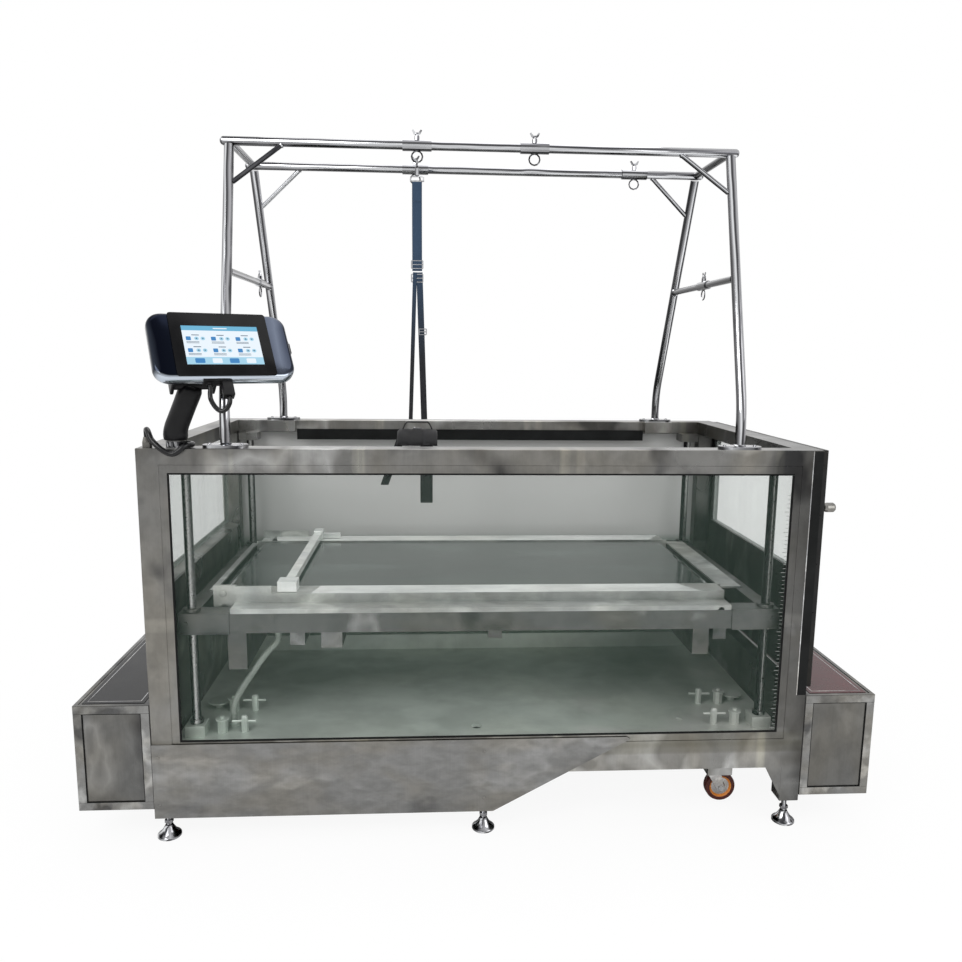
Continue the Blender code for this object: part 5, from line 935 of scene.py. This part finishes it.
LEAD_X, LEAD_Y = -0.210, -0.175 + MIDDLE_Y
SPLIT_Z = 1.735
SADDLE_TOP = 1.232
BANDS = (0.030, -0.045)


def lead():
    low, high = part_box("lead_strap")
    bm = bmesh.new()
    top = high[2]
    heights = [top - (top - SPLIT_Z) * k / 24 for k in range(25)]
    wave = [(LEAD_X + 0.0004 * math.sin(z * 9), LEAD_Y, z) for z in heights]
    strap_piece(bm, wave, 0.031, 0.0026)
    strap_piece(bm, [(LEAD_X, LEAD_Y - 0.0022, top - 0.012 * k) for k in range(6)], 0.029, 0.0016)
    for z in (SPLIT_Z + 0.020, SPLIT_Z - 0.022):
        buckle(bm, LEAD_X, LEAD_Y, z, 0.036, 0.024)
    for side, width in ((-1, 0.013), (1, 0.020)):
        line = []
        for k in range(29):
            t = k / 28
            z = SPLIT_Z - 0.004 + (low[2] + 0.0005 - SPLIT_Z + 0.004) * t
            line.append((LEAD_X + side * (0.007 + 0.015 * t), LEAD_Y + 0.0008 * math.sin(6 * t + side), z))
        strap_piece(bm, line, width, 0.0026)
    buckle(bm, LEAD_X + 0.0175, LEAD_Y, SPLIT_Z - 0.190, 0.023, 0.018)
    piece("lead_webbing", bm, [STRAP_BLUE, SMALL_CHROME], "harness", "strap_webbing", "lead_strap", sharp=50.0)


def loop_band(bm, x, width, half_y, top, bottom, lean):
    """A closed band hung from its top, leaning along the tank as it goes down."""
    thick, steps = 0.0036, 56
    centre, half = (top + bottom) / 2, (top - bottom) / 2
    rows = []
    for a, b in circle(steps):
        row = []
        for wide, deep in ((-1, 0.15), (-0.9, 0.0), (0.9, 0.0), (1, 0.15),
                           (1, 0.85), (0.9, 1.0), (-0.9, 1.0), (-1, 0.85)):
            z = centre + (half - thick * deep) * b
            row.append(bm.verts.new((LEAD_X + x + wide * width / 2 + lean * (top - z),
                                     LEAD_Y + (half_y - thick * deep) * a, z)))
        rows.append(row)
    for index, row in enumerate(rows):
        bridge(bm, row, rows[(index + 1) % steps])


def saddle_pad():
    """The padded back piece: crowned between its bound edges, quilted in three channels."""
    length, width, rise = 0.130, 0.150, 0.062
    thick, bound = 0.0118, 0.0035
    across, along = 36, 26
    bm = bmesh.new()
    outer, inner = [], []
    for i in range(across + 1):
        angle = math.pi * (0.08 + 0.84 * i / across)
        row_out, row_in = [], []
        for j in range(along + 1):
            t = j / along
            edge = min(min(t, 1 - t) * length, min(i, across - i) / across * 0.19)
            puff = min(1.0, edge / 0.012) ** 0.5
            seam = min(abs(t * 3 - line) for line in (1, 2))
            channel = 1.0 - 0.35 * math.exp(-(seam / 0.09) ** 2)
            depth = bound + (thick - bound) * puff * channel
            for row, grow in ((row_out, depth - thick), (row_in, -thick)):
                row.append(bm.verts.new((LEAD_X - length / 2 + length * t,
                                         LEAD_Y - (width / 2 + grow) * math.cos(angle),
                                         SADDLE_TOP - rise + (rise + grow) * math.sin(angle))))
        outer.append(row_out)
        inner.append(row_in)
    for rows, flip in ((outer, False), (inner, True)):
        for i in range(across):
            for j in range(along):
                quad = (rows[i][j], rows[i + 1][j], rows[i + 1][j + 1], rows[i][j + 1])
                bm.faces.new(quad[::-1] if flip else quad)
    for i in range(across):
        for end in (0, -1):
            bm.faces.new((outer[i][end], outer[i + 1][end], inner[i + 1][end], inner[i][end]))
    for j in range(along):
        for end in (0, -1):
            bm.faces.new((outer[end][j], outer[end][j + 1], inner[end][j + 1], inner[end][j]))
    made = piece("harness_saddle", bm, HARNESS_PAD, "harness", "harness_fabric", "support_harness", sharp=70.0)


def harness_straps():
    """The two bands with their trims and clips, the handle, and two staples on the saddle."""
    front, rear = BANDS
    bm = bmesh.new()
    loop_band(bm, front, 0.040, 0.0705, SADDLE_TOP - 0.0045, 0.9855, 0.0)
    loop_band(bm, rear, 0.026, 0.0685, SADDLE_TOP - 0.0045, 1.0455, -0.35)
    angles = [0.30 + 0.9 * k / 10 for k in range(11)]
    for x, half in ((front, 0.0725), (rear, 0.0705)):
        for side in (-1, 1):
            strap_piece(bm, [(LEAD_X + x, LEAD_Y + side * (half + 0.0012) * math.cos(angle),
                              SADDLE_TOP - 0.066 + 0.0665 * math.sin(angle)) for angle in angles], 0.022, 0.0016)
    handle = []
    for k in range(25):
        t = k / 24
        lift = math.sin(min(1.0, 6 * t, 6 * (1 - t)) * math.pi / 2)
        handle.append((LEAD_X - 0.048 + 0.096 * t, LEAD_Y, SADDLE_TOP - 0.003 + 0.0255 * lift))
    strap_piece(bm, handle, 0.021, 0.0042, 0, Vector((0, 1, 0)))
    for x in BANDS:
        add_block(bm, (LEAD_X + x - 0.018, LEAD_X + x + 0.018), (LEAD_Y - 0.0765, LEAD_Y - 0.0695), (1.092, 1.126),
                  0.0015, 2, 1)
    for one, two, lift, wire in (((-0.010, -0.012), (-0.010, 0.012), 0.0030, 0.0016),
                                 ((-0.014, -0.014), (0.014, -0.014), 0.0024, 0.0014)):
        add_tube(bm, [(LEAD_X + dx, LEAD_Y + dy, SADDLE_TOP + lift) for dx, dy in (one, two)], wire, 12, 2)
    piece("harness_straps", bm, [HARNESS_WEB, MATTE_BLACK, SMALL_CHROME], "harness", "harness_fabric", sharp=50.0)


lead()
saddle_pad()
harness_straps()


# Fittings on the tank and the deck

FRONT_FACE = MIDDLE_Y - 0.516
GASKET_X = (0.971, 0.999)
GASKET_Z = (0.440, 1.202)
RAIL_TOP = 0.742
MARKS_X = 0.909


def tread_mats():
    """Dark mats in the recesses of the steps, with a bright line set in near the edge."""
    inset, line_inset = 0.0195, 0.012
    for node, material in (("left_step", STEP_MAT), ("right_step", RED_MAT)):
        low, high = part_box(node)
        z = high[2] - 0.0019
        bm = bmesh.new()
        x, y = ((low[axis] + inset, high[axis] - inset) for axis in (0, 1))
        add_block(bm, x, y, (z, z + 0.0014), 0.0005, 1, 0)
        line = [(ends[0] + line_inset, ends[1] - line_inset) for ends in (x, y)]
        for bar_x, bar_y in border_bars(*line, 0.0025, 0.0002):
            add_block(bm, bar_x, bar_y, (z + 0.0012, z + 0.0018), 0.0, 1, 1)
        piece(node + "_mat", bm, [material, BRIGHT_STEEL], "tank", "black_plastic", smooth=False)


def rail_covers():
    """Bright strips on the folded side rails, mitred at both ends, low enough for the stop bar to pass."""
    z, thick = RAIL_TOP + 0.00001, 0.00025
    for name, sy, ends in (("near", -1, (-0.515, 0.690)), ("far", 1, (-0.765, 0.765))):
        inner, outer = sy * 0.314, sy * 0.3945
        corners = [(ends[0], inner), (ends[1] - 0.055, inner), (ends[1], outer), (ends[0] - 0.02, outer)]
        bm = bmesh.new()
        loft(bm, [[bm.verts.new(place(x, y, level)) for x, y in corners] for level in (z, z + thick)])
        edges = [e for e in bm.edges if min(vert.co.z for vert in e.verts) > z + thick / 2]
        bmesh.ops.bevel(bm, geom=edges, offset=0.0001, segments=2, affect="EDGES")
        piece(name + "_rail_cover", bm, RAIL_STEEL, "platform", "brushed_steel", smooth=False)


def level_scale():
    """Plain level marks at the right edge of the front window."""
    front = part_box("front_glass")[0][1]
    y = (front - 0.0004, front - 0.00005)
    bm = bmesh.new()
    for step in range(60):
        z = 0.330 + step * 0.0125
        length = 0.014 if step % 5 == 0 else 0.008
        add_block(bm, (MARKS_X - length, MARKS_X), y, (z, z + 0.0016), 0.0)
    add_block(bm, (MARKS_X + 0.0010, MARKS_X + 0.0022), y, (0.325, 1.075), 0.0)
    piece("level_scale", bm, MARK_GREY, "tank", "black_plastic", smooth=False)


def seals():
    """Black seals round the front window and along the rear rim."""
    low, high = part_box("front_glass")
    inset = 0.0226
    window = [(low[axis] + inset, high[axis] - inset) for axis in (0, 2)]
    bm = bmesh.new()
    for x, z in border_bars(*window, 0.0050, 0.0002):
        add_block(bm, x, (low[1] - 0.0030, low[1] - 0.0001), z, 0.0006, 1)
    rim = MIDDLE_Y + 0.4413
    add_block(bm, (-0.70, 0.70), (rim - 0.0016, rim - 0.0002), (1.128, 1.170), 0.0004, 1)
    piece("window_seals", bm, SEAL_BLACK, "tank", "cable_rubber", smooth=False)


def door_gasket():
    """The dark rubber edge between the right post and the door, with a bright bead beside it."""
    bead = (GASKET_X[0] - 0.0032, GASKET_X[0] - 0.0003)
    bm = bmesh.new()
    add_block(bm, GASKET_X, (FRONT_FACE - 0.0016, FRONT_FACE - 0.0002), GASKET_Z, 0.0006, 2)
    add_block(bm, bead, (FRONT_FACE - 0.0012, FRONT_FACE - 0.0002), GASKET_Z, 0.0004, 1, 1)
    piece("door_gasket", bm, [SEAL_BLACK, BRIGHT_STEEL], "tank", "cable_rubber", smooth=False)


def step_fronts():
    """The folded border round each step's front face, with the dark joint inside it."""
    margin, border, gap, seam = 0.001, 0.0240, 0.0003, 0.0020
    for node in ("left_step", "right_step"):
        low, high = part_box(node)
        face = low[1]
        bm = bmesh.new()
        edge = [(low[axis] + margin, high[axis] - margin) for axis in (0, 2)]
        for x, z in border_bars(*edge, border, gap):
            add_block(bm, x, (face - 0.0018, face - 0.0002), z, 0.0006, 2, 0)
        joint = [(ends[0] + border + gap, ends[1] - border - gap) for ends in edge]
        for x, z in border_bars(*joint, seam, 0.0002):
            add_block(bm, x, (face - 0.0009, face - 0.0002), z, 0.0, 1, 1)
        piece(node + "_border", bm, [TRIM_STEEL, SEAL_BLACK], "tank", "brushed_steel", smooth=False)


tread_mats()
rail_covers()
level_scale()
seals()
door_gasket()
step_fronts()


# Studio

def studio():
    scene = bpy.context.scene
    scene.view_settings.view_transform = "Standard"
    world = bpy.data.worlds.new("studio")
    scene.world = world
    world.use_nodes = True
    tree = world.node_tree
    back = tree.nodes["Background"]
    rays = tree.nodes.new("ShaderNodeLightPath")
    white = rays.outputs["Is Camera Ray"]
    for kind in ("Is Glossy Ray", "Is Transmission Ray"):
        either = tree.nodes.new("ShaderNodeMath")
        either.operation = "MAXIMUM"
        tree.links.new(white, either.inputs[0])
        tree.links.new(rays.outputs[kind], either.inputs[1])
        white = either.outputs[0]
    power = tree.nodes.new("ShaderNodeMapRange")
    power.inputs["To Min"].default_value = 0.60
    power.inputs["To Max"].default_value = 1.0
    tree.links.new(white, power.inputs["Value"])
    back.inputs["Color"].default_value = (1.0, 1.0, 1.0, 1.0)
    tree.links.new(power.outputs["Result"], back.inputs["Strength"])
    bm = bmesh.new()
    bmesh.ops.create_grid(bm, x_segments=4, y_segments=4, size=14.0)
    ground = Paint("ground")
    ground.set(Roughness=0.9)
    speck = ground.noise(3.0, 2.0)
    ground.colour(ground.ramp(speck, (0.3, 0.93), (0.7, 0.95)))
    light = ground.add("ShaderNodeEmission", Strength=1.0)
    blend = ground.add("ShaderNodeMixShader")
    seen = ground.add("ShaderNodeLightPath")
    part = ground.add("ShaderNodeMath", operation="MULTIPLY")
    far = ground.add("ShaderNodeVectorMath", operation="LENGTH")
    ground.join(ground.space(), far.inputs[0])
    reach = ground.remap(far.outputs["Value"], From_Min=1.1, From_Max=2.2, To_Min=0.92, To_Max=1.0)
    ground.join(reach, part.inputs[1])
    ground.join(seen.outputs["Is Camera Ray"], part.inputs[0])
    ground.join(part.outputs[0], blend.inputs[0])
    ground.join(ground.shader.outputs[0], blend.inputs[1])
    ground.join(light.outputs[0], blend.inputs[2])
    ground.join(blend.outputs[0], ground.tree.nodes["Material Output"].inputs["Surface"])
    floor = finish_mesh("studio_floor", bm, ground.made, smooth=False)
    floor.location.z = -0.0005
    for name, where, size, power, aim in (("key", (-2.6, -3.4, 3.6), 2.4, 95.0, (0.0, 0.0, 0.9)),
                                          ("fill", (3.0, -2.6, 2.6), 2.4, 45.0, (0.0, 0.0, 0.8)),
                                          ("top", (0.0, 0.6, 4.2), 3.0, 70.0, (0.0, 0.0, 0.8))):
        data = bpy.data.lights.new(name, "AREA")
        data.energy = power
        data.size = size
        lamp = link(name, data)
        lamp.location = where
        lamp.rotation_euler = (Vector(aim) - Vector(where)).to_track_quat("-Z", "Y").to_euler()


studio()
